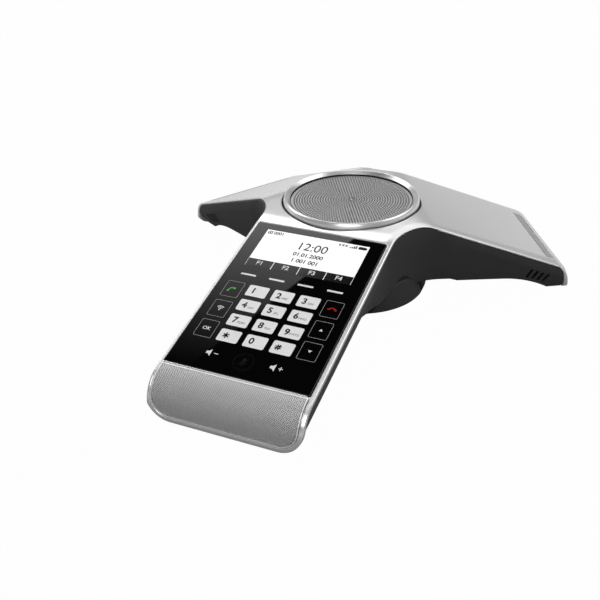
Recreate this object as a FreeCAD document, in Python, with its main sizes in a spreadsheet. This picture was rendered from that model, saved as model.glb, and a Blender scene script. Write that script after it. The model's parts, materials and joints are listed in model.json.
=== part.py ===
import FreeCAD, Part
import math
import os
import re
import Sketcher
from FreeCAD import Placement, Rotation, Vector

# A cordless conference telephone: a round loudspeaker hub on a round pedestal with
# three broad arms. The front arm carries the display and touch keypad under one
# sheet of glass; the two rear arms carry microphones and status lights.
# Millimetres, +Z up. The origin is on the table under the middle of the outline.

SIZES = {
    # outline of the three arms, seen from above
    "front_half": 47.5,
    "rear_half": 46.0,
    "rear_angle": 30.0,
    "corner_radius": 40.0,
    # roof over the hub and along each arm
    "hub_height": 61.5,
    "hub_blend": 40.0,
    "front_start": 45.8,
    "front_slope": 14.93,
    "front_reach": 188.0,
    "front_lean": 88.0,
    "front_bend": 18.0,
    "rear_start": 41.4,
    "rear_slope": 22.0,
    "rear_reach": 147.5,
    "rear_lean": 80.0,
    "rear_bend": 14.0,
    # silver upper shell
    "crown_width": 6.0,
    "crown_drop": 1.2,
    "front_skin": 3.5,
    "rear_skin": 1.6,
    "tip_skin": 3.8,
    "nose_corner": 15.0,
    "tip_corner": 12.0,
    "shell_lift": 1.0,
    # dark lower shell
    "seam_step": 0.4,
    "side_band": 6.2,
    "under_inset": 9.5,
    "front_draft": 32.0,
    "draft_start": 85.0,
    "shell_wall": 2.5,
    "belly_height": 15.0,
    "belly_fall": 3.2,
    "belly_bow": 0.62,
    "front_hump_back": 51.0,
    "front_foot_back": 18.0,
    "front_tip_wall": 9.3,
    "rear_hump_back": 47.5,
    "rear_foot_back": 14.5,
    "rear_tip_wall": 8.2,
    "pedestal_radius": 53.6,
    "pedestal_rise": 26.0,
    "base_thickness": 2.0,
    "base_ledge": 3.0,
    "base_ledge_width": 7.1,
    # sound slots in the side of each rear arm
    "slot_count": 4,
    "slot_pitch": 4.1,
    "slot_width": 1.8,
    "slot_length": 8.4,
    "slot_tilt": 17.4,
    "rear_slot_back": 30.0,
    "slot_drop": 14.65,
    # loudspeaker ring, grille and their seat
    "ring_gap": 1.15,
    "ring_radius": 47.1,
    "ring_rise": 3.4,
    "ring_shoulder_drop": 2.5,
    "ring_cheek": 0.35,
    "ring_brow": 1.1,
    "ring_brow_width": 0.7,
    "ring_brow_drop": 0.4,
    "ring_crest_width": 0.8,
    "ring_lip_width": 0.5,
    "ring_lip_drop": 0.6,
    "ring_dish": 1.8,
    "ring_mouth_drop": 3.1,
    "seat_depth": 4.5,
    "seat_ledge": 2.0,
    "seat_land": 3.1,
    "seat_wall": 2.5,
    "grille_gap": 0.3,
    "grille_thickness": 1.2,
    "grille_drop": 4.7,
    "grille_land": 1.9,
    "cloth_thickness": 0.4,
    # loudspeaker
    "gasket_thickness": 0.8,
    "gasket_lip": 3.0,
    "basket_land": 3.2,
    "basket_flange": 1.5,
    "basket_lip": 5.0,
    "basket_depth": 17.4,
    "basket_foot_land": 1.4,
    "basket_wall": 2.0,
    "basket_floor": 1.2,
    "basket_bore": 14.0,
    "window_count": 6,
    "window_width": 10.0,
    "window_length": 6.0,
    "window_radius": 31.5,
    "plate_radius": 22.0,
    "plate_thickness": 3.5,
    "coil_radius": 11.3,
    "coil_wall": 0.8,
    "coil_length": 12.2,
    "coil_gap": 0.5,
    "magnet_radius": 24.0,
    "magnet_inner": 14.0,
    "magnet_height": 10.0,
    "yoke_radius": 23.0,
    "yoke_thickness": 3.0,
    "cone_thickness": 1.2,
    "cone_depth": 10.0,
    "cap_rise": 4.2,
    "cap_thickness": 0.8,
    "surround_width": 6.0,
    "surround_gap": 0.5,
    "surround_skin": 0.8,
    "surround_rise": 1.8,
    "spider_radius": 25.0,
    "spider_skin": 0.8,
    "spider_height": 3.0,
    "spider_foot": 1.5,
    "speaker_gap": 0.7,
    # glass panel on the front arm, measured down the slope from its upper edge
    "panel_border": 3.0,
    "panel_ring_gap": 3.98,
    "panel_tip_gap": 17.405,
    "panel_thickness": 2.0,
    "panel_gap": 0.2,
    "panel_ledge": 2.0,
    "screen_width": 70.6,
    "screen_top": 5.4,
    "screen_length": 34.6,
    "screen_rim": 3.0,
    "stack_thickness": 2.0,
    "key_width": 13.2,
    "key_pitch_across": 16.7,
    "key_row_gap": 3.25,
    "key_top": 55.3,
    "key_end_gap": 21.45,
    "guide_margin": 5.0,
    "panel_board_side": 4.5,
    "panel_board_end": 3.75,
    "board_thickness": 1.6,
    # perforated grille bent over the front tip
    "mesh_border": 3.0,
    "mesh_panel_gap": 1.5,
    "mesh_bottom": 4.0,
    "mesh_corner": 12.0,
    "mesh_recess": 0.3,
    "mesh_thickness": 1.0,
    "mesh_gap": 0.2,
    # light bars near the rear tips
    "light_back": 17.43,
    "light_width": 5.6,
    "light_side": 10.0,
    "light_flange": 2.2,
    "light_flange_width": 6.2,
    "light_flange_thickness": 1.0,
    "light_gap": 0.15,
    "light_board": 1.2,
    # microphones
    "mic_radius": 3.0,
    "mic_length": 4.5,
    "mic_boot_wall": 1.2,
    "mic_boot_length": 5.0,
    "mic_back": 31.83,
    "mic_side": 16.0,
    "front_mic_height": 8.5,
    "mic_port": 1.2,
    # base plate, feet and screws
    "base_gap": 0.3,
    "foot_ring_gap": 1.1,
    "foot_ring_width": 5.0,
    "foot_seat": 0.8,
    "tip_foot_margin": 1.5,
    "tip_foot_width": 7.5,
    "tip_foot_length": 60.0,
    "screw_count": 4,
    "screw_turn": 45.0,
    "screw_setback": 3.6,
    "screw_head": 1.9,
    "screw_head_height": 1.2,
    "screw_shank": 1.0,
    "screw_length": 4.8,
    "screw_gap": 0.1,
    # battery compartment
    "cover_corner_gap": 3.4445,
    "cover_width": 40.0,
    "cover_gap": 0.3,
    "cover_thickness": 1.8,
    "cover_grip_length": 14.0,
    "cover_grip_width": 4.0,
    "cover_grip_depth": 0.8,
    "tray_wall": 1.7,
    "pack_gap": 0.5,
    # electronics on the main board
    "main_board_gap": 5.1,
    "shield_length": 30.0,
    "shield_width": 24.0,
    "shield_height": 3.0,
    "radio_length": 20.0,
    "radio_width": 15.0,
    "radio_height": 2.6,
    "socket_width": 9.2,
    "socket_height": 3.0,
    "socket_length": 14.0,
    "socket_gap": 0.3,
    "socket_inset": 0.6,
}

# What follows from those sizes: radii from the outside in, levels from the hub down.

DERIVED = {
    # loudspeaker ring and loudspeaker
    "ring_crest": "ring_radius - ring_brow - ring_crest_width",
    "ring_mouth": "ring_crest - ring_dish",
    "ring_bore": "ring_mouth - grille_land",
    "ring_height": "hub_height + ring_rise",
    "ring_shoulder": "ring_height - ring_shoulder_drop",
    "ring_mouth_height": "ring_height - ring_mouth_drop",
    "grille_seat": "ring_height - grille_drop",
    "seat_bore": "ring_radius - seat_land",
    "seat_floor": "hub_height - seat_depth",
    "gasket_inner": "seat_bore - gasket_lip",
    "gasket_low": "seat_floor - seat_ledge - gasket_thickness",
    "basket_radius": "seat_bore + basket_land",
    "basket_mouth": "gasket_inner - basket_lip",
    "basket_foot": "spider_radius + basket_foot_land",
    "basket_low": "gasket_low - basket_depth",
    "floor_top": "basket_low + basket_floor",
    "surround_lip": "gasket_inner - surround_gap",
    "cone_radius": "basket_mouth - surround_width",
    "coil_top": "gasket_low - cone_depth",
    "magnet_low": "basket_low - plate_thickness - magnet_height",
    "yoke_low": "magnet_low - yoke_thickness",
    # front arm
    "panel_width": "2 * (front_half - panel_border)",
    "panel_drop": "ring_radius + ring_gap + panel_ring_gap",
    "panel_length": "(front_reach - panel_drop - panel_tip_gap) / cos(front_slope * 1 deg)",
    "key_pitch_down": "(panel_length - key_top - key_end_gap + key_row_gap) / 4",
    "key_length": "key_pitch_down - key_row_gap",
    "panel_board_width": "panel_width - 2 * panel_board_side",
    "panel_board_length": "panel_length - 2 * panel_board_end",
    "mesh_width": "2 * (front_half - mesh_border)",
    "mesh_top": "panel_length + mesh_panel_gap",
    # rear arms, measured down their slope
    "rear_plate": "rear_skin * cos(rear_slope * 1 deg)",
    "rear_run": "(rear_reach - rear_start) / cos(rear_slope * 1 deg)",
    "light_start": "rear_run - light_back",
    "light_length": "2 * (rear_half - light_side)",
    "mic_along": "rear_run - mic_back",
    "mic_across": "rear_half - mic_side",
    # pedestal
    "pedestal_bore": "pedestal_radius - shell_wall",
    "plate_rim": "pedestal_bore - base_gap",
    "base_ledge_inner": "pedestal_bore - base_ledge_width",
    "screw_circle": "pedestal_bore - screw_setback",
    "foot_ring_outer": "screw_circle - screw_head - foot_ring_gap",
    "foot_ring_inner": "foot_ring_outer - foot_ring_width",
    "cover_length": "2 * sqrt((foot_ring_inner - cover_corner_gap)^2 - (cover_width / 2)^2)",
    "tray_low": "shell_lift + base_thickness",
    "board_top": "yoke_low - speaker_gap - shield_height",
    "board_low": "board_top - board_thickness",
    "tray_height": "board_low - tray_low",
    "main_board_radius": "pedestal_bore - main_board_gap",
}

doc = FreeCAD.newDocument("ConferencePhone")
sheets = {}
subparts = []
places = {}


def formula(text, own_sheet=None):
    """Names of sizes in the text become references to the cells of their sheet."""
    def reference(found):
        name = found.group(0)
        owner = "Sizes" if name in SIZES else "Derived" if name in DERIVED else own_sheet
        return name if owner == own_sheet else owner + "." + name
    return re.sub(r"[a-z_]+", reference, text)


def fill_sheet(label, cells):
    sheet = doc.addObject("Spreadsheet::Sheet", label)
    for row, (alias, value) in enumerate(cells.items(), start=1):
        sheet.set("A%d" % row, alias)
        sheet.set("B%d" % row, value)
        sheet.setAlias("B%d" % row, alias)
    doc.recompute()
    sheets[label] = sheet


fill_sheet("Sizes", {alias: str(value) for alias, value in SIZES.items()})
fill_sheet("Derived", {alias: "=" + formula(text, "Derived") for alias, text in DERIVED.items()})


def size(alias):
    return float(sheets["Sizes" if alias in SIZES else "Derived"].get(alias))


def bind(sketch, constraint, text):
    index = sketch.addConstraint(constraint)
    sketch.setExpression("Constraints[%d]" % index, formula(text))


def new_body(label):
    body = doc.addObject("PartDesign::Body", label)
    body.Label = label
    subparts.append(body)
    return body


def new_sketch(body, role, height=None):
    """A sketch on one of the body's own origin planes, lifted along its normal."""
    sketch = body.newObject("Sketcher::SketchObject", body.Label + "_sketch")
    origin_plane = [item for item in body.Origin.OriginFeatures if item.Role == role][0]
    sketch.AttachmentSupport = [(origin_plane, "")]
    sketch.MapMode = "FlatFace"
    if height:
        sketch.setExpression("AttachmentOffset.Base.z", formula(height))
    return sketch


def pin_point(sketch, line, end, x, y, guess):
    if x == "0":
        sketch.addConstraint(Sketcher.Constraint("PointOnObject", line, end, -2))
    else:
        bind(sketch, Sketcher.Constraint("DistanceX", -1, 1, line, end, guess.x), x)
    if y == "0":
        sketch.addConstraint(Sketcher.Constraint("PointOnObject", line, end, -1))
    else:
        bind(sketch, Sketcher.Constraint("DistanceY", -1, 1, line, end, guess.y), y)


def add_circle(sketch, radius, x="0", y="0"):
    start = Vector(1, 1, 0)
    index = sketch.addGeometry(Part.Circle(start, Vector(0, 0, 1), 10))
    pin_point(sketch, index, 3, x, y, start)
    bind(sketch, Sketcher.Constraint("Radius", index, 10), radius)


def add_polygon(sketch, points):
    """A closed outline whose corners are each tied to a pair of formulas."""
    first = sketch.GeometryCount
    count = len(points)
    turn = 2 * math.pi / count
    spots = [Vector(20 + 10 * math.cos(i * turn), 20 + 10 * math.sin(i * turn), 0) for i in range(count)]
    for i in range(count):
        sketch.addGeometry(Part.LineSegment(spots[i], spots[(i + 1) % count]))
    for i in range(count):
        sketch.addConstraint(Sketcher.Constraint("Coincident", first + i, 2, first + (i + 1) % count, 1))
    for i, (x, y) in enumerate(points):
        pin_point(sketch, first + i, 1, x, y, spots[i])


def add_rectangle(sketch, left, right, low, high):
    add_polygon(sketch, [(left, low), (right, low), (right, high), (left, high)])


def add_centred(sketch, length, width, x="0", y="0"):
    add_rectangle(sketch,
                  "%s - %s / 2" % (x, length), "%s + %s / 2" % (x, length),
                  "%s - %s / 2" % (y, width), "%s + %s / 2" % (y, width))


def pad(body, sketch, length):
    feature = body.newObject("PartDesign::Pad", body.Label + "_pad")
    feature.Profile = sketch
    feature.setExpression("Length", formula(length))
    return feature


def pocket(body, sketch, depth, upward):
    """A cut that starts at the sketch; upward cuts along the sketch's normal."""
    feature = body.newObject("PartDesign::Pocket", body.Label + "_pocket")
    feature.Profile = sketch
    feature.Reversed = upward
    feature.setExpression("Length", formula(depth))
    return feature


def round_piece(label, outer, inner, bottom, height):
    """A disc on the Z axis, or a ring when it has an inner radius."""
    body = new_body(label)
    sketch = new_sketch(body, "XY_Plane", bottom)
    add_circle(sketch, outer)
    if inner:
        add_circle(sketch, inner)
    pad(body, sketch, height)
    return body


def turned_piece(label, points):
    """A solid of revolution about Z from (radius, height) corners."""
    body = new_body(label)
    sketch = new_sketch(body, "XZ_Plane")
    add_polygon(sketch, points)
    feature = body.newObject("PartDesign::Revolution", label + "_turn")
    feature.Profile = sketch
    feature.ReferenceAxis = (sketch, ["V_Axis"])
    feature.Angle = 360
    return body


def flat_piece(label, length, width, bottom, height, x="0", y="0"):
    """A plate centred on (x, y) in its own frame."""
    body = new_body(label)
    sketch = new_sketch(body, "XY_Plane", bottom)
    add_centred(sketch, length, width, x, y)
    pad(body, sketch, height)
    return body


def solid_feature(label, shape):
    feature = doc.addObject("Part::Feature", label)
    feature.Label = label
    feature.Shape = shape
    subparts.append(feature)
    return feature


def prism(edges, direction):
    wire = Part.Wire([edge.toShape() for edge in edges])
    return Part.Face(wire).extrude(direction)


def lines_through(points):
    return [Part.LineSegment(a, b) for a, b in zip(points, points[1:])]


def spun(shape, angle):
    copy = shape.copy()
    copy.rotate(Vector(0, 0, 0), Vector(0, 0, 1), angle)
    return copy


# The shells are sculpted: every roof is a flat hub that rolls into a slope and then
# down over a tip, so they are made from profiles drawn in (along the arm, height).

ANGLE = math.radians(size("rear_angle"))
ARM_TURNS = {"front": -90.0, "right": size("rear_angle"), "left": 180.0 - size("rear_angle")}
FAR = 2 * (size("front_reach") + size("rear_reach"))
PAST_TIP = 1.1


def before_tip(arm, set_back):
    """Distance from the hub's axis to a point set back from an arm's tip."""
    kind = "front" if arm == "front" else "rear"
    return size(kind + "_reach") - size(kind + "_" + set_back)


def right_point(along, off):
    """A plan point of the right arm; off is measured towards the front."""
    return Vector(along * math.cos(ANGLE) + off * math.sin(ANGLE),
                  along * math.sin(ANGLE) - off * math.cos(ANGLE), 0)


def mirrored(point):
    return Vector(-point.x, point.y, point.z)


def corner_centre(inset):
    """Centre of the hollow corner between the front arm and the right arm."""
    radius = size("corner_radius") + inset
    x = size("front_half") - inset + radius
    y = (x * math.sin(ANGLE) - size("rear_half") + inset - radius) / math.cos(ANGLE)
    return Vector(x, y, 0)


def outline_prism(inset, front_end, rear_end, height):
    """The three-armed plan with hollow corners, extruded from the table."""
    front = size("front_half") - inset
    rear = size("rear_half") - inset
    radius = size("corner_radius") + inset
    centre = corner_centre(inset)
    back = (rear + radius) / math.cos(ANGLE)
    middle = math.pi - ANGLE
    a = Vector(front, -front_end, 0)
    b = Vector(front, centre.y, 0)
    c = centre + Vector(math.cos(middle), math.sin(middle), 0) * radius
    d = right_point(centre.x * math.cos(ANGLE) + centre.y * math.sin(ANGLE), rear)
    e = right_point(rear_end, rear)
    f = right_point(rear_end, -rear)
    g = right_point(back * math.sin(ANGLE), -rear)
    edges = [Part.LineSegment(a, b), Part.Arc(b, c, d)]
    edges += lines_through([d, e, f, g])
    edges.append(Part.Arc(g, Vector(0, back - radius, 0), mirrored(g)))
    edges += lines_through([mirrored(g), mirrored(f), mirrored(e), mirrored(d)])
    edges.append(Part.Arc(mirrored(d), mirrored(c), mirrored(b)))
    edges += lines_through([mirrored(b), mirrored(a), a])
    return prism(edges, Vector(0, 0, height))


def roof(hub, start, slope, reach, lean, bend):
    """Everything below one arm's roof line, from far behind the hub to the tip."""
    fall = math.radians(slope)
    steep = math.radians(lean)
    blend = size("hub_blend")
    run = blend * math.tan(fall / 2)
    hub_end = Vector(start - run, 0, hub)
    slope_start = Vector(start + run * math.cos(fall), 0, hub - run * math.sin(fall))
    hub_mid = Vector(start - run + blend * math.sin(fall / 2), 0, hub - blend + blend * math.cos(fall / 2))
    knee = (reach * math.tan(steep) - hub - start * math.tan(fall)) / (math.tan(steep) - math.tan(fall))
    knee_height = hub - (knee - start) * math.tan(fall)
    half = (steep + fall) / 2
    run = bend * math.tan((steep - fall) / 2)
    slope_end = Vector(knee - run * math.cos(fall), 0, knee_height + run * math.sin(fall))
    tip_start = Vector(knee + run * math.cos(steep), 0, knee_height - run * math.sin(steep))
    bend_mid = slope_end + Vector(math.sin(half) - math.sin(fall), 0, math.cos(half) - math.cos(fall)) * bend
    edges = lines_through([Vector(-FAR, 0, 0), Vector(-FAR, 0, hub), hub_end])
    edges.append(Part.Arc(hub_end, hub_mid, slope_start))
    edges.append(Part.LineSegment(slope_start, slope_end))
    edges.append(Part.Arc(slope_end, bend_mid, tip_start))
    edges += lines_through([tip_start, Vector(reach, 0, 0), Vector(-FAR, 0, 0)])
    block = prism(edges, Vector(0, FAR, 0))
    block.translate(Vector(0, -FAR / 2, 0))
    return block


def front_roof(depth):
    """The front arm's roof, sunk square to its surface by a depth."""
    fall = math.radians(size("front_slope"))
    steep = math.radians(size("front_lean"))
    return spun(roof(size("hub_height") - depth / math.cos(fall), size("front_start"), size("front_slope"),
                     size("front_reach") - depth / math.sin(steep), size("front_lean"),
                     size("front_bend") - depth), ARM_TURNS["front"])


def all_roofs(skinned):
    """The common volume under the three roofs, with or without the upper shell."""
    hub = size("hub_height")
    front_start = size("front_start")
    tip = 0
    if skinned:
        fall = math.radians(size("front_slope"))
        hub -= size("rear_skin")
        front_start -= (size("front_skin") / math.cos(fall) - size("rear_skin")) / math.tan(fall)
        tip = size("tip_skin")
    front = roof(hub, front_start, size("front_slope"), size("front_reach") - tip,
                 size("front_lean"), size("front_bend") - tip)
    rear = roof(hub, size("rear_start"), size("rear_slope"), size("rear_reach") - tip,
                size("rear_lean"), size("rear_bend") - tip)
    volume = spun(front, ARM_TURNS["front"])
    volume = volume.common(spun(rear, ARM_TURNS["right"]))
    return volume.common(spun(rear, ARM_TURNS["left"]))


def is_side_wall(face):
    low_u, high_u, low_v, high_v = face.ParameterRange
    normal = face.normalAt((low_u + high_u) / 2, (low_v + high_v) / 2)
    end_wall = abs(face.BoundBox.XLength - 2 * size("front_half")) < 0.01
    return abs(normal.z) < 1e-6 and not end_wall


def crown_edges(block):
    """Edges between a side wall and a roof face, all round the outline."""
    edges = []
    for edge in block.Edges:
        faces = block.ancestorsOfType(edge, Part.Face)
        if len(faces) == 2 and is_side_wall(faces[0]) != is_side_wall(faces[1]):
            if edge.BoundBox.ZMax > size("shell_lift"):
                edges.append(edge)
    return edges


def panel_frame():
    """Frame of the glass: origin mid upper edge, Y up the slope, Z out of it."""
    slope = size("front_slope")
    height = size("hub_height") - (size("panel_drop") - size("front_start")) * math.tan(math.radians(slope))
    return Placement(Vector(0, -size("panel_drop"), height), Rotation(Vector(1, 0, 0), slope))


def arm_frame(side):
    """Frame of a rear arm's slope: X down the slope, Z out of it."""
    turn = Rotation(Vector(0, 0, 1), ARM_TURNS[side])
    base = turn.multVec(Vector(size("rear_start"), 0, size("hub_height")))
    return Placement(base, turn.multiply(Rotation(Vector(0, 1, 0), size("rear_slope"))))


def box_between(low, high, frame=Placement()):
    box = Part.makeBox(high.x - low.x, high.y - low.y, high.z - low.z, low)
    box.Placement = frame.multiply(box.Placement)
    return box


def nose_region(start, half, low, radius):
    """A front view of the front tip with round lower corners, from y = start on."""
    top = 2 * size("hub_height")
    cut = radius * (1 - math.sqrt(0.5))
    edges = lines_through([Vector(half, start, low + radius), Vector(half, start, top),
                           Vector(-half, start, top), Vector(-half, start, low + radius)])
    edges.append(Part.Arc(Vector(-half, start, low + radius), Vector(-half + cut, start, low + cut),
                          Vector(-half + radius, start, low)))
    edges.append(Part.LineSegment(Vector(-half + radius, start, low), Vector(half - radius, start, low)))
    edges.append(Part.Arc(Vector(half - radius, start, low), Vector(half - cut, start, low + cut),
                          Vector(half, start, low + radius)))
    return prism(edges, Vector(0, -size("front_reach"), 0))


def mesh_region(gap):
    start = panel_frame().multVec(Vector(0, gap - size("mesh_top"), 0)).y
    half = size("mesh_width") / 2 + gap
    return nose_region(start, half, size("mesh_bottom") - gap, size("mesh_corner") + gap)


def front_mic_port():
    start = Vector(0, size("shell_wall") - before_tip("front", "tip_wall"), size("front_mic_height"))
    return Part.makeCylinder(size("mic_port"), size("front_reach"), start, Vector(0, -1, 0))


def make_top_shell(block):
    """Silver skin over all three arms with a cup for the loudspeaker ring."""
    lift = size("shell_lift")
    ring_hole = size("ring_radius") + size("ring_gap")
    cup = Part.makeCylinder(ring_hole + size("seat_wall"), size("hub_height"),
                            Vector(0, 0, size("seat_floor") - size("seat_ledge")))
    shell = block.makeChamfer(size("crown_drop"), size("crown_width"), crown_edges(block))
    shell = shell.cut(all_roofs(True)).fuse(cup.common(shell))
    shell = shell.cut(Part.makeCylinder(ring_hole, FAR, Vector(0, 0, size("seat_floor"))))
    shell = shell.cut(Part.makeCylinder(size("seat_bore"), FAR))
    frame = panel_frame()
    gap = size("panel_gap")
    half = size("panel_width") / 2
    ledge = size("panel_ledge")
    length = size("panel_length")
    shell = shell.cut(box_between(Vector(-half - gap, -length - gap, -size("panel_thickness")),
                                  Vector(half + gap, gap, size("front_skin")), frame))
    shell = shell.cut(box_between(Vector(-half + ledge, -length + ledge, -2 * size("front_skin")),
                                  Vector(half - ledge, -ledge, 0), frame))
    recess = size("mesh_recess") + size("mesh_thickness")
    mesh_pocket = front_roof(-size("front_skin")).cut(front_roof(recess))
    shell = shell.cut(mesh_pocket.common(mesh_region(size("mesh_gap"))))
    gap = size("light_gap")
    for side in ("left", "right"):
        start = size("light_start")
        half = size("light_length") / 2 + gap
        slot = box_between(Vector(start - gap, -half, -size("tip_skin")),
                           Vector(start + size("light_width") + gap, half, size("tip_skin")), arm_frame(side))
        shell = shell.cut(slot)
    shell = shell.cut(front_mic_port())
    for arm, half, radius in (("front", size("front_half"), size("nose_corner")),
                              ("left", size("rear_half"), size("tip_corner")),
                              ("right", size("rear_half"), size("tip_corner"))):
        start = before_tip(arm, "tip_wall")
        beyond = box_between(Vector(-2 * half, -2 * start, -lift),
                             Vector(2 * half, -start, size("hub_height")))
        corners = beyond.cut(nose_region(-start, half, lift, radius))
        shell = shell.cut(spun(corners, ARM_TURNS[arm] - ARM_TURNS["front"]))
    shell = shell.cut(box_between(Vector(-FAR, -FAR, -FAR), Vector(FAR, FAR, lift)))
    return shell.removeSplitter()


def side_wedges(inset):
    """Wedges that draw the lower walls of the arms in towards the table."""
    hub = size("hub_height") - size("rear_skin") - size("side_band")
    centre = corner_centre(inset)
    draw_in = size("under_inset")
    draft = math.tan(math.radians(size("front_draft")))
    front_fall = math.tan(math.radians(size("front_slope")))
    rear_fall = math.tan(math.radians(size("rear_slope")))
    front_sink = size("front_skin") / math.cos(math.radians(size("front_slope"))) - size("rear_skin")

    def front_crease(along):
        return hub - front_sink - (along - size("front_start")) * front_fall

    def rear_crease(along):
        return hub - (along - size("rear_start")) * rear_fall

    front_half = size("front_half") - inset
    rear_half = size("rear_half") - inset
    front_far = PAST_TIP * size("front_reach")
    rear_far = PAST_TIP * size("rear_reach")
    turn_over = size("draft_start")
    front = [(-centre.y, draw_in), (turn_over, draft * front_crease(turn_over)),
             (front_far, draft * front_crease(front_far))]
    inner = [(centre.x * math.cos(ANGLE) + centre.y * math.sin(ANGLE), draw_in), (rear_far, draw_in)]
    outer = [((size("rear_half") + size("corner_radius")) * math.tan(ANGLE), draw_in), (rear_far, draw_in)]
    wedges = []
    for arm, half, crease, stations, sign in (("front", front_half, front_crease, front, 1),
                                              ("front", front_half, front_crease, front, -1),
                                              ("right", rear_half, rear_crease, inner, -1),
                                              ("right", rear_half, rear_crease, outer, 1),
                                              ("left", rear_half, rear_crease, inner, 1),
                                              ("left", rear_half, rear_crease, outer, -1)):
        sections = []
        for along, depth in stations:
            top = crease(along)
            corners = [Vector(along, sign * half, top), Vector(along, sign * 2 * half, top),
                       Vector(along, sign * 2 * half, 0), Vector(along, sign * (half - depth), 0)]
            sections.append(Part.makePolygon(corners + corners[:1]))
        wedges.append(spun(Part.makeLoft(sections, True, True), ARM_TURNS[arm]))
    return wedges


def corner_cones(inset):
    """Cones that carry the same draw-in round the three hollow corners."""
    radius = size("corner_radius") + inset
    height = size("hub_height") - size("rear_skin") - size("side_band")
    right = corner_centre(inset)
    back = Vector(0, (size("rear_half") + size("corner_radius")) / math.cos(ANGLE), 0)
    cones = []
    for centre in (right, mirrored(right), back):
        cones.append(Part.makeCone(radius + size("under_inset"), radius, height, centre))
    return cones


def belly(raise_by):
    """The hollow under the arms: level at the hub, curving down to each foot."""
    low = size("shell_lift") + raise_by
    high = size("belly_height") + raise_by
    knee = high - size("belly_fall")
    end = FAR if raise_by else 0
    tools = []
    bow = size("belly_bow")
    for arm, turn in ARM_TURNS.items():
        hump = before_tip(arm, "hump_back")
        foot = before_tip(arm, "foot_back")
        middle = Vector(hump + bow * (foot - hump), 0, low + bow * (knee - low))
        corners = [Vector(foot + end, 0, low), Vector(foot + end, 0, -FAR), Vector(0, 0, -FAR),
                   Vector(0, 0, high), Vector(hump, 0, knee)]
        if end:
            corners.insert(0, Vector(foot, 0, low))
        edges = lines_through(corners)
        edges.append(Part.Arc(Vector(hump, 0, knee), middle, Vector(foot, 0, low)))
        tool = prism(edges, Vector(0, 4 * size("front_half"), 0))
        tool.translate(Vector(0, -2 * size("front_half"), 0))
        tools.append(spun(tool, turn))
    return tools


def arm_feet():
    """Where each arm tip's rubber foot lies along its arm."""
    return {arm: before_tip(arm, "foot_back") + size("tip_foot_margin") for arm in ARM_TURNS}


def sound_slots():
    """Leaning slots in the front-facing side of the two rear arms."""
    tools = []
    fall = math.tan(math.radians(size("rear_slope")))
    for side, sign in (("right", -1), ("left", 1)):
        for number in range(int(size("slot_count"))):
            along = before_tip(side, "slot_back") + number * size("slot_pitch")
            height = size("hub_height") - (along - size("rear_start")) * fall - size("slot_drop")
            slot = Part.makeBox(size("slot_width"), size("rear_half"), size("slot_length"),
                                Vector(-size("slot_width") / 2, 0, -size("slot_length") / 2))
            slot.rotate(Vector(0, 0, 0), Vector(0, 1, 0), size("slot_tilt"))
            low = sign * size("mic_across")
            slot.translate(Vector(along, low if sign > 0 else low - size("rear_half"), height))
            tools.append(spun(slot, ARM_TURNS[side]))
    return tools


def screw_spots():
    count = int(size("screw_count"))
    return [size("screw_turn") + 360.0 * number / count for number in range(count)]


def make_bottom_shell():
    """Dark tray under the skin: drawn-in walls, hollow arms and a round pedestal."""
    lift = size("shell_lift")
    wall = size("shell_wall")
    seam = size("seam_step")
    bore = size("pedestal_bore")
    ledge_low = size("tray_low")
    ledge_high = ledge_low + size("base_ledge")
    shell = outline_prism(seam, FAR / 2, FAR / 2, FAR).common(all_roofs(True))
    cavity = outline_prism(seam + wall, before_tip("front", "tip_wall"), before_tip("left", "tip_wall"), FAR)
    for tool in side_wedges(seam) + corner_cones(seam) + belly(0):
        shell = shell.cut(tool)
    for tool in side_wedges(seam + wall) + corner_cones(seam + wall) + belly(wall):
        cavity = cavity.cut(tool)
    shell = shell.fuse(Part.makeCylinder(size("pedestal_radius"), size("pedestal_rise")))
    shell = shell.cut(cavity)
    shell = shell.cut(Part.makeCylinder(bore, size("pedestal_rise") - ledge_high, Vector(0, 0, ledge_high)))
    shell = shell.cut(Part.makeCylinder(size("base_ledge_inner"), ledge_high))
    shell = shell.cut(Part.makeCylinder(bore, ledge_low))
    for arm, along in arm_feet().items():
        pocket_box = box_between(Vector(along, -size("tip_foot_length") / 2, 0),
                                 Vector(along + size("tip_foot_width"), size("tip_foot_length") / 2,
                                        lift + size("foot_seat")))
        shell = shell.cut(spun(pocket_box, ARM_TURNS[arm]))
    for slot in sound_slots():
        shell = shell.cut(slot)
    for angle in screw_spots():
        spot = Rotation(Vector(0, 0, 1), angle).multVec(Vector(size("screw_circle"), 0, ledge_low))
        shell = shell.cut(Part.makeCylinder(size("screw_shank"), size("base_ledge"), spot))
    gap = size("socket_gap")
    board_top = size("board_top")
    shell = shell.cut(box_between(Vector(-size("socket_width") / 2 - gap, 0, board_top - gap),
                                  Vector(size("socket_width") / 2 + gap, FAR,
                                         board_top + size("socket_height") + gap))
                      .cut(Part.makeCylinder(bore - wall, FAR)))
    shell = shell.cut(front_mic_port())
    shell = shell.cut(box_between(Vector(-FAR, -FAR, -FAR), Vector(FAR, FAR, lift)))
    return shell.removeSplitter()


def make_front_mesh():
    """Thin perforated strip bent over the front tip."""
    skin = front_roof(size("mesh_recess")).cut(front_roof(size("mesh_recess") + size("mesh_thickness")))
    return skin.common(mesh_region(0)).removeSplitter()


outer_block = outline_prism(0, FAR / 2, FAR / 2, FAR).common(all_roofs(False)).Solids[0].removeSplitter()
top_shell = solid_feature("top_shell", make_top_shell(outer_block).Solids[0])
solid_feature("bottom_shell", make_bottom_shell().Solids[0])
solid_feature("front_mesh", make_front_mesh().Solids[0])

# Loudspeaker ring, grille and cloth in the hub's cup.

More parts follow.
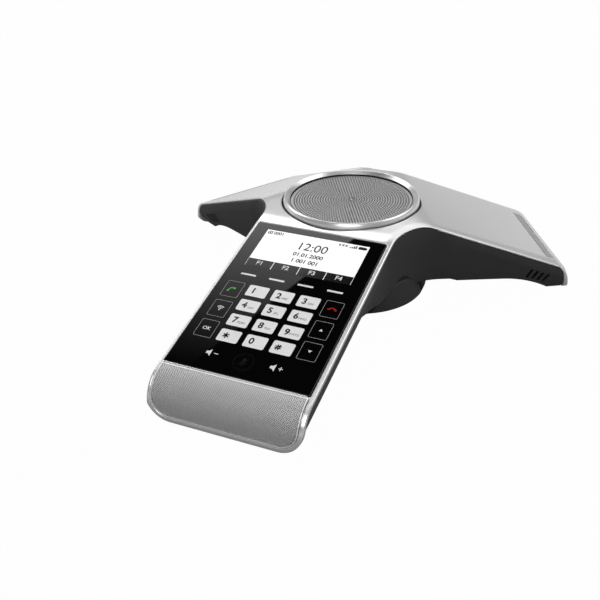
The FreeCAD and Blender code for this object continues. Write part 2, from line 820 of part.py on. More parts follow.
turned_piece("speaker_ring", [
    ("ring_bore", "seat_floor"),
    ("ring_radius", "seat_floor"),
    ("ring_radius", "ring_shoulder"),
    ("ring_radius - ring_cheek", "(ring_shoulder + ring_height) / 2"),
    ("ring_crest + ring_crest_width + ring_brow_width", "ring_height - ring_brow_drop"),
    ("ring_crest + ring_crest_width", "ring_height"),
    ("ring_crest", "ring_height"),
    ("ring_crest - ring_lip_width", "ring_height - ring_lip_drop"),
    ("ring_mouth", "ring_mouth_height"),
    ("ring_mouth", "grille_seat"),
    ("ring_bore", "grille_seat"),
])
round_piece("speaker_grille", "ring_mouth - grille_gap", None, "grille_seat", "grille_thickness")
round_piece("grille_cloth", "ring_bore - grille_gap", None,
            "grille_seat - cloth_thickness", "cloth_thickness")

# Loudspeaker, hung under the cup.

CURVE_STEPS = 6

round_piece("speaker_gasket", "basket_radius", "gasket_inner", "gasket_low", "gasket_thickness")

basket = turned_piece("speaker_basket", [
    ("basket_mouth", "gasket_low"),
    ("basket_radius", "gasket_low"),
    ("basket_radius", "gasket_low - basket_flange"),
    ("basket_mouth + basket_wall", "gasket_low - basket_flange"),
    ("basket_foot", "basket_low"),
    ("basket_bore", "basket_low"),
    ("basket_bore", "floor_top"),
    ("basket_foot - basket_wall / 2", "floor_top"),
    ("basket_mouth", "gasket_low - basket_flange"),
])
window = new_sketch(basket, "XY_Plane", "gasket_low - basket_flange")
add_centred(window, "window_length", "window_width", "window_radius")
window_cut = pocket(basket, window, "basket_depth - basket_flange - basket_floor", False)
doc.recompute()
windows = basket.newObject("PartDesign::PolarPattern", "basket_windows")
windows.Originals = [window_cut]
windows.Axis = ([item for item in basket.Origin.OriginFeatures if item.Role == "Z_Axis"][0], [""])
windows.Angle = 360
windows.setExpression("Occurrences", formula("window_count"))
basket.Tip = windows


def half_roll(skin_side):
    """Corners of the surround's roll, from the cone's rim out to the basket."""
    corners = []
    for step in range(CURVE_STEPS + 1):
        share = step / CURVE_STEPS
        radius = "cone_radius + %g * (basket_mouth - cone_radius)" % share
        level = "gasket_low + %g * surround_skin" % (share + skin_side)
        corners.append((radius, level + " + surround_rise * sin(%g deg)" % (180 * share)))
    return corners


def dome(radius, rise):
    """Corners of the dust cap's dome, from its rim up to the axis."""
    turns = [90 * step / CURVE_STEPS for step in range(CURVE_STEPS)]
    corners = [("(%s) * cos(%g deg)" % (radius, turn), "coil_top + (%s) * sin(%g deg)" % (rise, turn))
               for turn in turns]
    return corners + [("0", "coil_top + " + rise)]


roll_under = half_roll(-1)
roll_over = half_roll(0)
turned_piece("speaker_surround", roll_over + [
    ("surround_lip", "gasket_low + surround_skin"),
    ("surround_lip", "gasket_low"),
] + roll_under[::-1])
turned_piece("speaker_cone", [
    ("coil_radius", "coil_top - cone_thickness"),
    ("coil_radius", "coil_top"),
    ("cone_radius", "gasket_low"),
    ("cone_radius", "gasket_low - cone_thickness"),
])
turned_piece("dust_cap", dome("coil_radius", "cap_rise")
             + dome("coil_radius - coil_wall", "cap_rise - cap_thickness")[::-1])
round_piece("voice_coil", "coil_radius", "coil_radius - coil_wall", "coil_top - coil_length", "coil_length")
turned_piece("speaker_spider", [
    ("coil_radius", "floor_top + spider_height - spider_skin"),
    ("coil_radius", "floor_top + spider_height"),
    ("spider_radius", "floor_top + spider_height"),
    ("spider_radius", "floor_top"),
    ("spider_radius - spider_foot", "floor_top"),
    ("spider_radius - spider_foot", "floor_top + spider_height - spider_skin"),
])
round_piece("pole_plate", "plate_radius", "coil_radius + coil_gap",
            "basket_low - plate_thickness", "plate_thickness")
round_piece("speaker_magnet", "magnet_radius", "magnet_inner",
            "magnet_low", "magnet_height")
turned_piece("speaker_yoke", [
    ("0", "yoke_low"),
    ("yoke_radius", "yoke_low"),
    ("yoke_radius", "magnet_low"),
    ("coil_radius - coil_wall - coil_gap", "magnet_low"),
    ("coil_radius - coil_wall - coil_gap", "basket_low"),
    ("0", "basket_low"),
])

# Glass panel of the front arm with the display, key windows and board behind it.

KEY_SPOTS = []
for key_row in range(4):
    for key_column in (-1, 0, 1):
        KEY_SPOTS.append(("%d * key_pitch_across" % key_column,
                          "0 - key_top - key_length / 2 - %d * key_pitch_down" % key_row))

panel_glass = new_body("panel_glass")
glass_sketch = new_sketch(panel_glass, "XY_Plane", "0 - panel_thickness")
add_centred(glass_sketch, "panel_width", "panel_length", "0", "0 - panel_length / 2")
add_centred(glass_sketch, "screen_width", "screen_length", "0", "0 - screen_top - screen_length / 2")
for key_x, key_y in KEY_SPOTS:
    add_centred(glass_sketch, "key_width", "key_length", key_x, key_y)
pad(panel_glass, glass_sketch, "panel_thickness")

display = flat_piece("display_module", "(screen_width + 2 * screen_rim)", "(screen_length + 2 * screen_rim)",
                     "0 - panel_thickness - stack_thickness", "stack_thickness",
                     "0", "0 - screen_top - screen_length / 2")
display_face = new_sketch(display, "XY_Plane", "0 - panel_thickness")
add_centred(display_face, "screen_width", "screen_length", "0", "0 - screen_top - screen_length / 2")
pad(display, display_face, "panel_thickness")

guide = flat_piece("key_light_guide", "(2 * key_pitch_across + key_width + 2 * guide_margin)",
                   "(3 * key_pitch_down + key_length + 2 * guide_margin)",
                   "0 - panel_thickness - stack_thickness", "stack_thickness",
                   "0", "0 - key_top - key_length / 2 - 1.5 * key_pitch_down")
guide_windows = new_sketch(guide, "XY_Plane", "0 - panel_thickness")
for key_x, key_y in KEY_SPOTS:
    add_centred(guide_windows, "key_width", "key_length", key_x, key_y)
pad(guide, guide_windows, "panel_thickness")

panel_board = flat_piece("panel_board", "panel_board_width", "panel_board_length",
                         "0 - panel_thickness - stack_thickness - board_thickness", "board_thickness",
                         "0", "0 - panel_length / 2")
for piece in (panel_glass, display, guide, panel_board):
    places[piece.Label] = panel_frame()

# Light bars and microphones under the rear arms' slopes.

for side, sign in (("left", 1), ("right", -1)):
    light = new_body(side + "_light_bar")
    section = new_sketch(light, "XZ_Plane", "0 - light_length / 2")
    add_polygon(section, [
        ("light_start", "0"),
        ("light_start + light_width", "0"),
        ("light_start + light_width", "0 - rear_plate"),
        ("light_start - light_flange + light_flange_width", "0 - rear_plate"),
        ("light_start - light_flange + light_flange_width", "0 - light_flange_thickness - rear_plate"),
        ("light_start - light_flange", "0 - light_flange_thickness - rear_plate"),
        ("light_start - light_flange", "0 - rear_plate"),
        ("light_start", "0 - rear_plate"),
    ])
    pad(light, section, "light_length")
    places[light.Label] = arm_frame(side)
    board = flat_piece(side + "_light_board", "light_flange_width", "light_length",
                       "0 - light_flange_thickness - light_board - rear_plate", "light_board",
                       "light_start - light_flange + light_flange_width / 2", "0")
    places[board.Label] = arm_frame(side)
    spot = Placement(Vector(size("mic_along"), sign * size("mic_across"), 0), Rotation())
    capsule = round_piece(side + "_microphone", "mic_radius", None,
                          "0 - mic_length - rear_plate", "mic_length")
    boot = round_piece(side + "_mic_boot", "mic_radius + mic_boot_wall", "mic_radius",
                       "0 - mic_boot_length - rear_plate", "mic_boot_length")
    for piece in (capsule, boot):
        places[piece.Label] = arm_frame(side).multiply(spot)

front_spot = Placement(Vector(0, -before_tip("front", "tip_wall"), size("front_mic_height")),
                       Rotation(Vector(1, 0, 0), -90))
capsule = round_piece("front_microphone", "mic_radius", None, None, "mic_length")
boot = round_piece("front_mic_boot", "mic_radius + mic_boot_wall", "mic_radius", None, "mic_boot_length")
for piece in (capsule, boot):
    places[piece.Label] = front_spot

# Base plate with its foot ring and screws, and a rubber foot under each arm tip.

base_plate = round_piece("base_plate", "plate_rim", None, "shell_lift", "base_thickness")
opening = new_sketch(base_plate, "XY_Plane", "shell_lift")
add_centred(opening, "(cover_length + 2 * cover_gap)", "(cover_width + 2 * cover_gap)")
pocket(base_plate, opening, "base_thickness", True)
groove = new_sketch(base_plate, "XY_Plane", "shell_lift")
add_circle(groove, "foot_ring_outer")
add_circle(groove, "foot_ring_inner")
pocket(base_plate, groove, "foot_seat", True)
for radius, depth in (("screw_shank + screw_gap", "base_thickness"),
                      ("screw_head + screw_gap", "screw_head_height")):
    holes = new_sketch(base_plate, "XY_Plane", "shell_lift")
    for angle in screw_spots():
        add_circle(holes, radius, "screw_circle * cos(%g deg)" % angle, "screw_circle * sin(%g deg)" % angle)
    pocket(base_plate, holes, depth, True)

round_piece("foot_ring", "foot_ring_outer", "foot_ring_inner", None, "shell_lift + foot_seat")
for arm, along in arm_feet().items():
    foot = flat_piece(arm + "_foot", "tip_foot_width", "tip_foot_length", None, "shell_lift + foot_seat")
    turn = Rotation(Vector(0, 0, 1), ARM_TURNS[arm])
    middle = Vector(along + size("tip_foot_width") / 2, 0, 0)
    places[foot.Label] = Placement(turn.multVec(middle), turn)
for number, angle in enumerate(screw_spots(), start=1):
    screw = turned_piece("base_screw_%d" % number, [
        ("0", "shell_lift"),
        ("screw_head", "shell_lift"),
        ("screw_head", "shell_lift + screw_head_height"),
        ("screw_shank", "shell_lift + screw_head_height"),
        ("screw_shank", "shell_lift + screw_length"),
        ("0", "shell_lift + screw_length"),
    ])
    turn = Rotation(Vector(0, 0, 1), angle)
    places[screw.Label] = Placement(turn.multVec(Vector(size("screw_circle"), 0, 0)), turn)

# Battery compartment over the base plate, closed by a lift-off cover.

tray = flat_piece("battery_tray", "(cover_length + 2 * cover_gap + 2 * tray_wall)",
                  "(cover_width + 2 * cover_gap + 2 * tray_wall)", "tray_low", "tray_height")
hollow = new_sketch(tray, "XY_Plane", "tray_low")
add_centred(hollow, "(cover_length + 2 * cover_gap)", "(cover_width + 2 * cover_gap)")
pocket(tray, hollow, "tray_height - tray_wall", True)
flat_piece("battery_pack", "(cover_length + 2 * cover_gap - 2 * pack_gap)",
           "(cover_width + 2 * cover_gap - 2 * pack_gap)",
           "shell_lift + cover_thickness + cover_gap",
           "base_thickness + tray_height - tray_wall - cover_thickness - cover_gap")
cover = flat_piece("battery_cover", "cover_length", "cover_width", "shell_lift", "cover_thickness")
grip = new_sketch(cover, "XY_Plane", "shell_lift")
add_centred(grip, "cover_grip_length", "cover_grip_width", "0", "0 - cover_width / 3")
pocket(cover, grip, "cover_grip_depth", True)

# Main board on the tray, with its shield, radio module and charging socket.

round_piece("main_board", "main_board_radius", None, "board_low", "board_thickness")
flat_piece("shield_can", "shield_length", "shield_width", "board_top", "shield_height",
           "0", "0 - main_board_radius / 3")
flat_piece("radio_module", "radio_length", "radio_width", "board_top", "radio_height",
           "0 - main_board_radius / 2", "main_board_radius / 4")
flat_piece("charge_socket", "socket_width", "socket_length", "board_top", "socket_height",
           "0", "pedestal_radius - socket_inset - socket_length / 2")

doc.recompute()

# The hub axis stands behind the middle of the outline, so every piece moves by the
# same step to bring the middle of the outline to the origin.

limits = top_shell.Shape.BoundBox
shift = Placement(Vector(0, -(limits.YMin + limits.YMax) / 2, 0), Rotation())
for piece in subparts:
    piece.Placement = shift.multiply(places.get(piece.Label, Placement()))
doc.recompute()

for item in doc.Objects:
    if "Invalid" in item.State or "Error" in item.State:
        raise RuntimeError("%s did not build: %s" % (item.Label, item.State))
for piece in subparts:
    if piece.Shape.isNull() or not piece.Shape.isValid() or len(piece.Shape.Solids) != 1:
        raise RuntimeError("%s is not one valid solid" % piece.Label)

os.makedirs("parts", exist_ok=True)
for piece in subparts:
    piece.Shape.exportStep("parts/%s.step" % piece.Label)
print("%d pieces, hub axis at y = %.3f" % (len(subparts), shift.Base.y))
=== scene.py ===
import json
import math

import bmesh
import bpy
from bpy.props import FloatProperty, FloatVectorProperty, PointerProperty
from mathutils import Matrix, Vector


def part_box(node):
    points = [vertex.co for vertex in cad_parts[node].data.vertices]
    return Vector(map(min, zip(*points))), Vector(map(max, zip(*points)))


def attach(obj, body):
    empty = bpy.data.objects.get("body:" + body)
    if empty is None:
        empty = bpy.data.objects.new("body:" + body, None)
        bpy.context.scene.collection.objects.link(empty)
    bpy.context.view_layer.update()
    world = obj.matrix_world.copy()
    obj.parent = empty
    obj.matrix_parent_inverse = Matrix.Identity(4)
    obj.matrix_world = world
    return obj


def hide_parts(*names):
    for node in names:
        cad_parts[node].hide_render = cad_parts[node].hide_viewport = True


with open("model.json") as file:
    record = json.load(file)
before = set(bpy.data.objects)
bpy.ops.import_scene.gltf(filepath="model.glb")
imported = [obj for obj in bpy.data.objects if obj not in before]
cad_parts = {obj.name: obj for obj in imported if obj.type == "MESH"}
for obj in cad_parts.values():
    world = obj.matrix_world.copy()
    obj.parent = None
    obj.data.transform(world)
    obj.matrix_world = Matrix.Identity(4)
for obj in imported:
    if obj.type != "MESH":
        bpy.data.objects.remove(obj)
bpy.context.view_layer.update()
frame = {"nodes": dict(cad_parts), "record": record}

bl_info = {
    "name": "Conference phone",
    "version": (1, 0, 0),
    "blender": (4, 5, 0),
    "location": "View3D > Sidebar > Phone",
    "description": "Models and finishes a three-armed conference phone",
    "category": "Object",
}

MM = 0.001


def length_property(name, description, millimetres):
    return FloatProperty(name=name, description=description, default=millimetres * MM,
                         min=0, unit="LENGTH", precision=5)


def angle_property(name, description, degrees):
    return FloatProperty(name=name, description=description, default=math.radians(degrees),
                         subtype="ANGLE")


def colour_property(name, description, red, green, blue):
    return FloatVectorProperty(name=name, description=description, default=(red, green, blue),
                               size=3, min=0, max=1, subtype="COLOR")


class PhoneSizes(bpy.types.PropertyGroup):
    """Sizes of what is modelled here; places come from the frame."""
    panel_slope: angle_property("Panel slope", "Fall of the front arm and its glass", 14.93)
    tip_lean: angle_property("Tip lean", "Lean of the front tip's face", 88.0)
    tip_bend: length_property("Tip bend", "Radius of the mesh's bend over the front tip", 17.7)
    shell_edge: length_property("Shell edge", "Rounding of the silver shell's edges", 0.45)
    dark_edge: length_property("Dark edge", "Rounding of the dark shell's edges", 0.5)
    ring_gap: length_property("Ring gap", "Gap between the ring and the shell", 1.1)
    # the seal below is painted shade: a dark rubber ring that darkens the gap round the loudspeaker ring
    shade_seal_drop: length_property("Seal drop", "Seal in that gap, below the ring's crest", 5.4)
    # the gasket below is painted shade: a dark ring over the ring's inner wall, where shadow falls
    gasket: length_property("Gasket", "Thickness of the gasket between the ring and the grille", 0.35)
    pedestal_radius: length_property("Pedestal radius", "Radius of the round pedestal", 53.6)
    face_low: length_property("Face low", "Lower edge of the pedestal's arched faces", 1.6)
    face_top: length_property("Face top", "Top of the pedestal's arched faces", 21.6)
    face_half: angle_property("Face half", "Half the turn that an arched face takes up at its foot", 25.0)
    # the dark seam is painted shade: dark rubber that darkens the gap round each arched face, where shadow
    # falls
    shade_seam_width: length_property("Seam width", "Dark seam above an arched face", 3.4)
    shade_seam_side: angle_property("Seam side", "Turn of the dark seam beside an arched face", 6.0)
    grille_pitch: length_property("Grille pitch", "Distance between rows of holes in the grille", 1.8)
    grille_hole: length_property("Grille hole", "Width of a hole in the grille", 1.42)
    grille_rim: length_property("Grille rim", "Plain band round the grille's holes", 3.0)
    mesh_pitch: length_property("Mesh pitch", "Distance between holes in the front mesh", 0.9)
    mesh_hole: length_property("Mesh hole", "Width of a hole in the front mesh", 0.52)
    # the mesh's rim is real; its near-white colour is partly a painted highlight of the mesh's edge
    mesh_rim: length_property("Mesh rim", "Width of the bright line round the front mesh", 0.75)
    mesh_gap: length_property("Mesh gap", "Gap between that line and the shell", 0.5)
    mesh_corner: length_property("Mesh corner", "Radius of the front mesh's lower corners", 12.0)
    glass_edge: length_property("Glass edge", "Rounding of the glass's edges", 0.35)
    print_lift: length_property("Print lift", "Height of each printed layer on the glass", 0.03)
    key_width: length_property("Key width", "Width of a number key", 13.2)
    key_length: length_property("Key length", "Length of a number key", 9.0)
    key_across: length_property("Key column", "Distance between columns of number keys", 16.7)
    key_down: length_property("Key row", "Distance between rows of number keys", 12.25)
    key_top: length_property("Key top", "First row of keys, from the glass's upper edge", 55.3)
    screen_width: length_property("Screen width", "Width of the display's face", 70.6)
    screen_length: length_property("Screen length", "Length of the display's face", 34.6)
    screen_top: length_property("Screen top", "Display, from the glass's upper edge", 5.4)


class PhoneColours(bpy.types.PropertyGroup):
    """Base colours of the finishes, linear."""
    silver: colour_property("Silver", "Satin paint of the upper shell", 0.72, 0.72, 0.72)
    charcoal: colour_property("Charcoal", "Moulded plastic of the lower shell", 0.046, 0.046, 0.046)
    ring: colour_property("Ring", "Satin metal of the loudspeaker ring", 0.70, 0.70, 0.70)
    grille: colour_property("Grille", "Paint of the round grille", 0.48, 0.48, 0.48)
    mesh: colour_property("Mesh", "Paint of the front mesh", 0.69, 0.69, 0.69)
    glass: colour_property("Glass", "Black print behind the glass", 0.001, 0.001, 0.001)
    screen: colour_property("Screen", "Face of the lit display", 0.86, 0.86, 0.86)
    key: colour_property("Key", "Face of a number key", 0.86, 0.86, 0.86)
    lens: colour_property("Lens", "Unlit light bar", 0.20, 0.20, 0.20)
    green: colour_property("Green", "Call key", 0.08, 0.48, 0.05)
    red: colour_property("Red", "Hang-up key", 0.42, 0.015, 0.015)


class PhoneStage(bpy.types.PropertyGroup):
    """Camera and light of the photograph."""
    azimuth: angle_property("Azimuth", "Camera's turn to the right of the keypad", 21.81)
    elevation: angle_property("Elevation", "Camera's height above the table, as an angle", 26.1)
    roll: angle_property("Roll", "Camera's tilt about its own axis", -0.27)
    distance: FloatProperty(name="Distance", description="Camera to the hub", default=0.578, unit="LENGTH")
    aim: length_property("Aim", "Height on the hub's axis that the camera looks at", 40.0)
    focal: FloatProperty(name="Focal length", description="In millimetres, on a 36 mm sensor", default=49.29)
    shift_x: FloatProperty(name="Shift X", description="Sideways shift, as a share of the width",
                           default=-0.086)
    shift_y: FloatProperty(name="Shift Y", description="Upward shift, as a share of the width",
                           default=-0.1216)
    daylight: FloatProperty(name="Daylight", description="Strength of the even light", default=1.0)
    overhead: FloatProperty(name="Overhead lamp", description="Watts of the lamp over the hub", default=5.2)
    side: FloatProperty(name="Side lamp", description="Watts of the lamp right of the keypad", default=0.6)
    card: FloatProperty(name="Soft box", description="Strength of the soft box at its top", default=5.6)
    fill: FloatProperty(name="Fill", description="Strength of the small soft boxes", default=2.4)
    card_height: FloatProperty(name="Soft box height", description="Soft box above the glass", default=0.9,
                               unit="LENGTH")


# Where things are, read from the frame.

RING_LOW, RING_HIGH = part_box("speaker_ring")
HUB = (RING_LOW + RING_HIGH) / 2


def panel_frame(slope):
    """Frame of the glass: origin mid upper edge, X across, Y up the slope, Z out of it."""
    low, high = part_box("panel_glass")
    depth = high.y - low.y
    fall = high.z - low.z
    length = (depth * math.cos(slope) - fall * math.sin(slope)) / math.cos(2 * slope)
    thickness = (fall * math.cos(slope) - depth * math.sin(slope)) / math.cos(2 * slope)
    origin = Vector(((low.x + high.x) / 2, low.y + length * math.cos(slope), high.z))
    place = Matrix.Translation(origin) @ Matrix.Rotation(slope, 4, "X")
    return place, high.x - low.x, length, thickness


class TipProfile:
    """The line of the front mesh from its upper edge down over the tip."""

    def __init__(self, sizes):
        low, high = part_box("front_mesh")
        self.fall = sizes.panel_slope
        self.steep = sizes.tip_lean
        self.bend = sizes.tip_bend
        self.width = high.x - low.x
        self.start = Vector((0, high.y, high.z))
        self.end = Vector((0, low.y, low.z))
        gap = self.start - self.end
        turn = math.sin(self.steep - self.fall)
        run = (gap.y * math.sin(self.steep) - gap.z * math.cos(self.steep)) / turn
        drop = (gap.z * math.cos(self.fall) - gap.y * math.sin(self.fall)) / turn
        corner = self.bend * math.tan((self.steep - self.fall) / 2)
        self.slope_run = run - corner
        self.arc_run = self.bend * (self.steep - self.fall)
        self.length = self.slope_run + self.arc_run + drop - corner

    def place(self, x, down, lift):
        """The point at a distance down the line, lifted out of the sheet."""
        on_arc = min(max(down - self.slope_run, 0), self.arc_run)
        angle = self.fall + on_arc / self.bend
        arc_start = self.start + min(down, self.slope_run) * self.along(self.fall)
        centre = arc_start - self.bend * self.out(self.fall)
        point = centre + self.bend * self.out(angle)
        point += max(down - self.slope_run - self.arc_run, 0) * self.along(self.steep)
        point += lift * self.out(angle)
        return Vector((x, point.y, point.z))

    @staticmethod
    def along(angle):
        return Vector((0, -math.cos(angle), -math.sin(angle)))

    @staticmethod
    def out(angle):
        return Vector((0, -math.sin(angle), math.cos(angle)))


# Modelling helpers.

MERGE = 0.002 * MM


def choose(piece):
    """Selects one piece alone and makes it the active one."""
    bpy.ops.object.select_all(action="DESELECT")
    bpy.context.view_layer.objects.active = piece
    piece.select_set(True)


def edit(piece):
    choose(piece)
    bpy.ops.object.mode_set(mode="EDIT")


def leave_edit():
    bpy.ops.object.mode_set(mode="OBJECT")
    return bpy.context.object


def start_piece(name, primitive, **settings):
    """Adds a primitive by its operator and opens it with all of it selected."""
    bpy.ops.object.select_all(action="DESELECT")
    primitive(**settings)
    piece = bpy.context.object
    piece.name = name
    piece.data.name = name
    edit(piece)
    bpy.ops.mesh.select_all(action="SELECT")
    return piece


def apply_modifier(piece, kind, **settings):
    choose(piece)
    modifier = piece.modifiers.new(kind, kind)
    for name, value in settings.items():
        setattr(modifier, name, value)
    bpy.ops.object.modifier_apply(modifier=modifier.name)


def thicken(piece, thickness):
    """Gives a sheet a thickness behind its face."""
    apply_modifier(piece, "SOLIDIFY", thickness=thickness, offset=-1)


def round_off(piece, width, degrees=50, segments=3, **settings):
    """Rounds the edges that turn by more than an angle."""
    apply_modifier(piece, "BEVEL", width=width, segments=segments, limit_method="ANGLE",
                   angle_limit=math.radians(degrees), **settings)


def level_shading(piece, weight):
    """Lets the large faces rule the shading beside rounded edges."""
    apply_modifier(piece, "WEIGHTED_NORMAL", mode="FACE_AREA", weight=weight, keep_sharp=True)


def smooth(piece, degrees=35):
    choose(piece)
    bpy.ops.object.shade_smooth_by_angle(angle=math.radians(degrees))


def face_outwards():
    """In edit mode, turns all faces of a closed piece outwards."""
    bpy.ops.mesh.select_all(action="SELECT")
    bpy.ops.mesh.normals_make_consistent(inside=False)


def join(pieces, name):
    bpy.ops.object.select_all(action="DESELECT")
    for piece in pieces:
        piece.select_set(True)
    bpy.context.view_layer.objects.active = pieces[0]
    bpy.ops.object.join()
    pieces[0].name = name
    pieces[0].data.name = name
    return pieces[0]


def select_where(piece, kind, chosen):
    """In edit mode, selects the faces or vertices for which chosen holds, and no others."""
    bpy.ops.mesh.select_all(action="DESELECT")
    bpy.ops.mesh.select_mode(type=kind)
    mesh = bmesh.from_edit_mesh(piece.data)
    for part in mesh.faces if kind == "FACE" else mesh.verts:
        part.select_set(chosen(part))
    mesh.select_flush_mode()
    bmesh.update_edit_mesh(piece.data)


def reshape(piece, rule):
    """Moves every vertex to where the rule puts it."""
    for vertex in piece.data.vertices:
        vertex.co = rule(vertex.co)
    piece.data.update()


def finish(piece, look, replaces=()):
    """Gives a piece its finish and its body, and hides the nodes that it replaces."""
    piece.data.materials.clear()
    piece.data.materials.append(finish_of(look))
    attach(piece, "phone")
    if replaces:
        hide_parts(*replaces)


def punch_holes(piece, pitch, hole, eight_sided=False):
    """In edit mode, gives every face of a flat grid its own hole."""
    corner_cut = 0.29 * hole
    bpy.ops.mesh.select_all(action="SELECT")
    bpy.ops.mesh.inset(thickness=(pitch - hole) / 2, use_individual=True)
    if eight_sided:
        bpy.ops.mesh.bevel(affect="VERTICES", offset=corner_cut, segments=1)
        select_where(piece, "FACE", lambda face: len(face.verts) == 8)
    bpy.ops.mesh.delete(type="FACE")


def rounded_plate(name, width, length, corner, thickness):
    """A plate with round corners, its top in the XY plane and centred there."""
    start_piece(name, bpy.ops.mesh.primitive_plane_add, size=1)
    bpy.ops.transform.resize(value=(width, length, 1))
    if corner:
        bpy.ops.mesh.bevel(affect="VERTICES", offset=corner, segments=4)
    if thickness:
        bpy.ops.mesh.select_all(action="SELECT")
        bpy.ops.mesh.extrude_region_move(TRANSFORM_OT_translate={"value": (0, 0, -thickness)})
        face_outwards()
    return leave_edit()


def turned(name, profile):
    """A closed (radius, height) profile carried round the hub's axis."""
    radius, height = profile[0]
    start_piece(name, bpy.ops.mesh.primitive_circle_add, vertices=160, radius=radius)
    bpy.ops.transform.translate(value=(0, 0, height))
    for next_radius, next_height in [*profile[1:], profile[0]]:
        bpy.ops.mesh.extrude_edges_move(TRANSFORM_OT_translate={"value": (0, 0, next_height - height)})
        share = next_radius / radius
        bpy.ops.transform.resize(value=(share, share, 1), center_override=(0, 0, 0))
        radius, height = next_radius, next_height
    bpy.ops.mesh.select_all(action="SELECT")
    bpy.ops.mesh.remove_doubles(threshold=MERGE)
    face_outwards()
    piece = leave_edit()
    piece.data.transform(Matrix.Translation((HUB.x, HUB.y, 0)))
    return piece


# Finishes.

class Nodes:
    """Short ways to add nodes to a tree and to wire them."""

    def __init__(self, tree):
        self.tree = tree

    def node(self, kind, **inputs):
        """A new node; an underscore stands for the space in a socket's name."""
        node = self.tree.nodes.new(kind)
        for name, value in inputs.items():
            node.inputs[name.replace("_", " ")].default_value = value
        return node

    def wire(self, source, target):
        self.tree.links.new(source, target)

    def spread(self, value, **ends):
        """Maps a value from one range to another."""
        ramp = self.node("ShaderNodeMapRange", **ends)
        self.wire(value, ramp.inputs["Value"])
        return ramp

    def mix(self, share, first, second):
        """Blends two shaders."""
        blend = self.node("ShaderNodeMixShader")
        self.wire(share, blend.inputs["Fac"])
        self.wire(first, blend.inputs[1])
        self.wire(second, blend.inputs[2])
        return blend.outputs["Shader"]


class Finish(Nodes):
    """A material with one shader and a few nodes that give it grain."""

    def __init__(self, name, colour, roughness, metallic=0.0, **sockets):
        self.material = bpy.data.materials.new("phone_" + name)
        self.material.use_nodes = True
        super().__init__(self.material.node_tree)
        self.shader = self.tree.nodes["Principled BSDF"]
        sockets.update(Base_Color=(*colour, 1), Roughness=roughness, Metallic=metallic)
        for socket, value in sockets.items():
            self.shader.inputs[socket.replace("_", " ")].default_value = value
        self.material.diffuse_color = (*colour, 1)
        self.colour = colour
        self.roughness = roughness

    def pattern(self, kind, stretch=(1, 1, 1), **inputs):
        """A texture on object coordinates, in metres."""
        place = self.node("ShaderNodeTexCoord")
        mapping = self.node("ShaderNodeMapping", Scale=stretch)
        texture = self.node(kind, **inputs)
        self.wire(place.outputs["Object"], mapping.inputs["Vector"])
        self.wire(mapping.outputs["Vector"], texture.inputs["Vector"])
        return texture

    def relief(self, height, depth, strength):
        """Raises the surface where a texture is light, up to a depth in metres."""
        bump = self.node("ShaderNodeBump", Strength=strength, Distance=depth)
        self.wire(height, bump.inputs["Height"])
        self.wire(bump.outputs["Normal"], self.shader.inputs["Normal"])
        return self

    def grain(self, scale, depth, detail=3.0, strength=1.0):
        """Fine uneven relief."""
        noise = self.pattern("ShaderNodeTexNoise", Scale=scale, Detail=detail)
        return self.relief(noise.outputs["Fac"], depth, strength)

    def round_edges(self, radius):
        """Shades the surface near its edges as if they were rounded."""
        edges = self.node("ShaderNodeBevel", Radius=radius)
        edges.samples = 8
        relief = self.shader.inputs["Normal"].links
        target = relief[0].from_node if relief else self.shader
        self.wire(edges.outputs["Normal"], target.inputs["Normal"])
        return self

    def sheen_change(self, scale, change, stretch=(1, 1, 1), detail=4.0):
        """Slow change of the roughness over the surface."""
        noise = self.pattern("ShaderNodeTexNoise", stretch, Scale=scale, Detail=detail)
        sheen = self.spread(noise.outputs["Fac"], To_Min=self.roughness - change,
                            To_Max=self.roughness + change)
        self.wire(sheen.outputs["Result"], self.shader.inputs["Roughness"])
        return self

    def tint_change(self, scale, change, detail=4.0):
        """Slight change of the colour over the surface."""
        noise = self.pattern("ShaderNodeTexNoise", Scale=scale, Detail=detail)
        ramp = self.node("ShaderNodeValToRGB")
        tints = ((0.15, 1 - change), (0.85, 1 + change))
        for stop, (position, share) in zip(ramp.color_ramp.elements, tints):
            stop.position = position
            stop.color = (*[min(part * share, 1) for part in self.colour], 1)
        self.wire(noise.outputs["Fac"], ramp.inputs["Fac"])
        self.wire(ramp.outputs["Color"], self.shader.inputs["Base Color"])
        return self


def silver_paint(colours):
    """Satin metallic paint under a thin clear coat."""
    look = Finish("silver_paint", colours.silver, 0.28, metallic=0.85, Coat_Weight=0.1, Coat_Roughness=0.2)
    look.tint_change(11, 0.03, detail=0.0)
    look.sheen_change(11, 0.02, detail=0.0)
    return look.round_edges(1.3 * MM).material


def charcoal_plastic(colours):
    look = Finish("charcoal_plastic", colours.charcoal, 0.5, Specular_IOR_Level=0.3)
    look.tint_change(40, 0.08)
    look.sheen_change(900, 0.05)
    look.grain(2600, 0.02 * MM, detail=1.0, strength=0.6)
    return look.round_edges(1.5 * MM).material


def satin_ring(colours):
    """Turned metal: the finest scratches run round the ring."""
    look = Finish("satin_ring", colours.ring, 0.31, metallic=1.0, Anisotropic=0.65,
                  Anisotropic_Rotation=0.25)
    tangent = look.node("ShaderNodeTangent")
    tangent.direction_type = "RADIAL"
    tangent.axis = "Z"
    look.wire(tangent.outputs["Tangent"], look.shader.inputs["Tangent"])
    return look.sheen_change(300, 0.03).material


def grille_metal(colours):
    look = Finish("grille_metal", colours.grille, 0.38, metallic=0.5)
    look.tint_change(3000, 0.06)
    return look.grain(5000, 0.005 * MM).material


def mesh_metal(colours):
    look = Finish("mesh_metal", colours.mesh, 0.42, metallic=0.15)
    look.tint_change(3000, 0.05)
    return look.grain(5000, 0.005 * MM).material


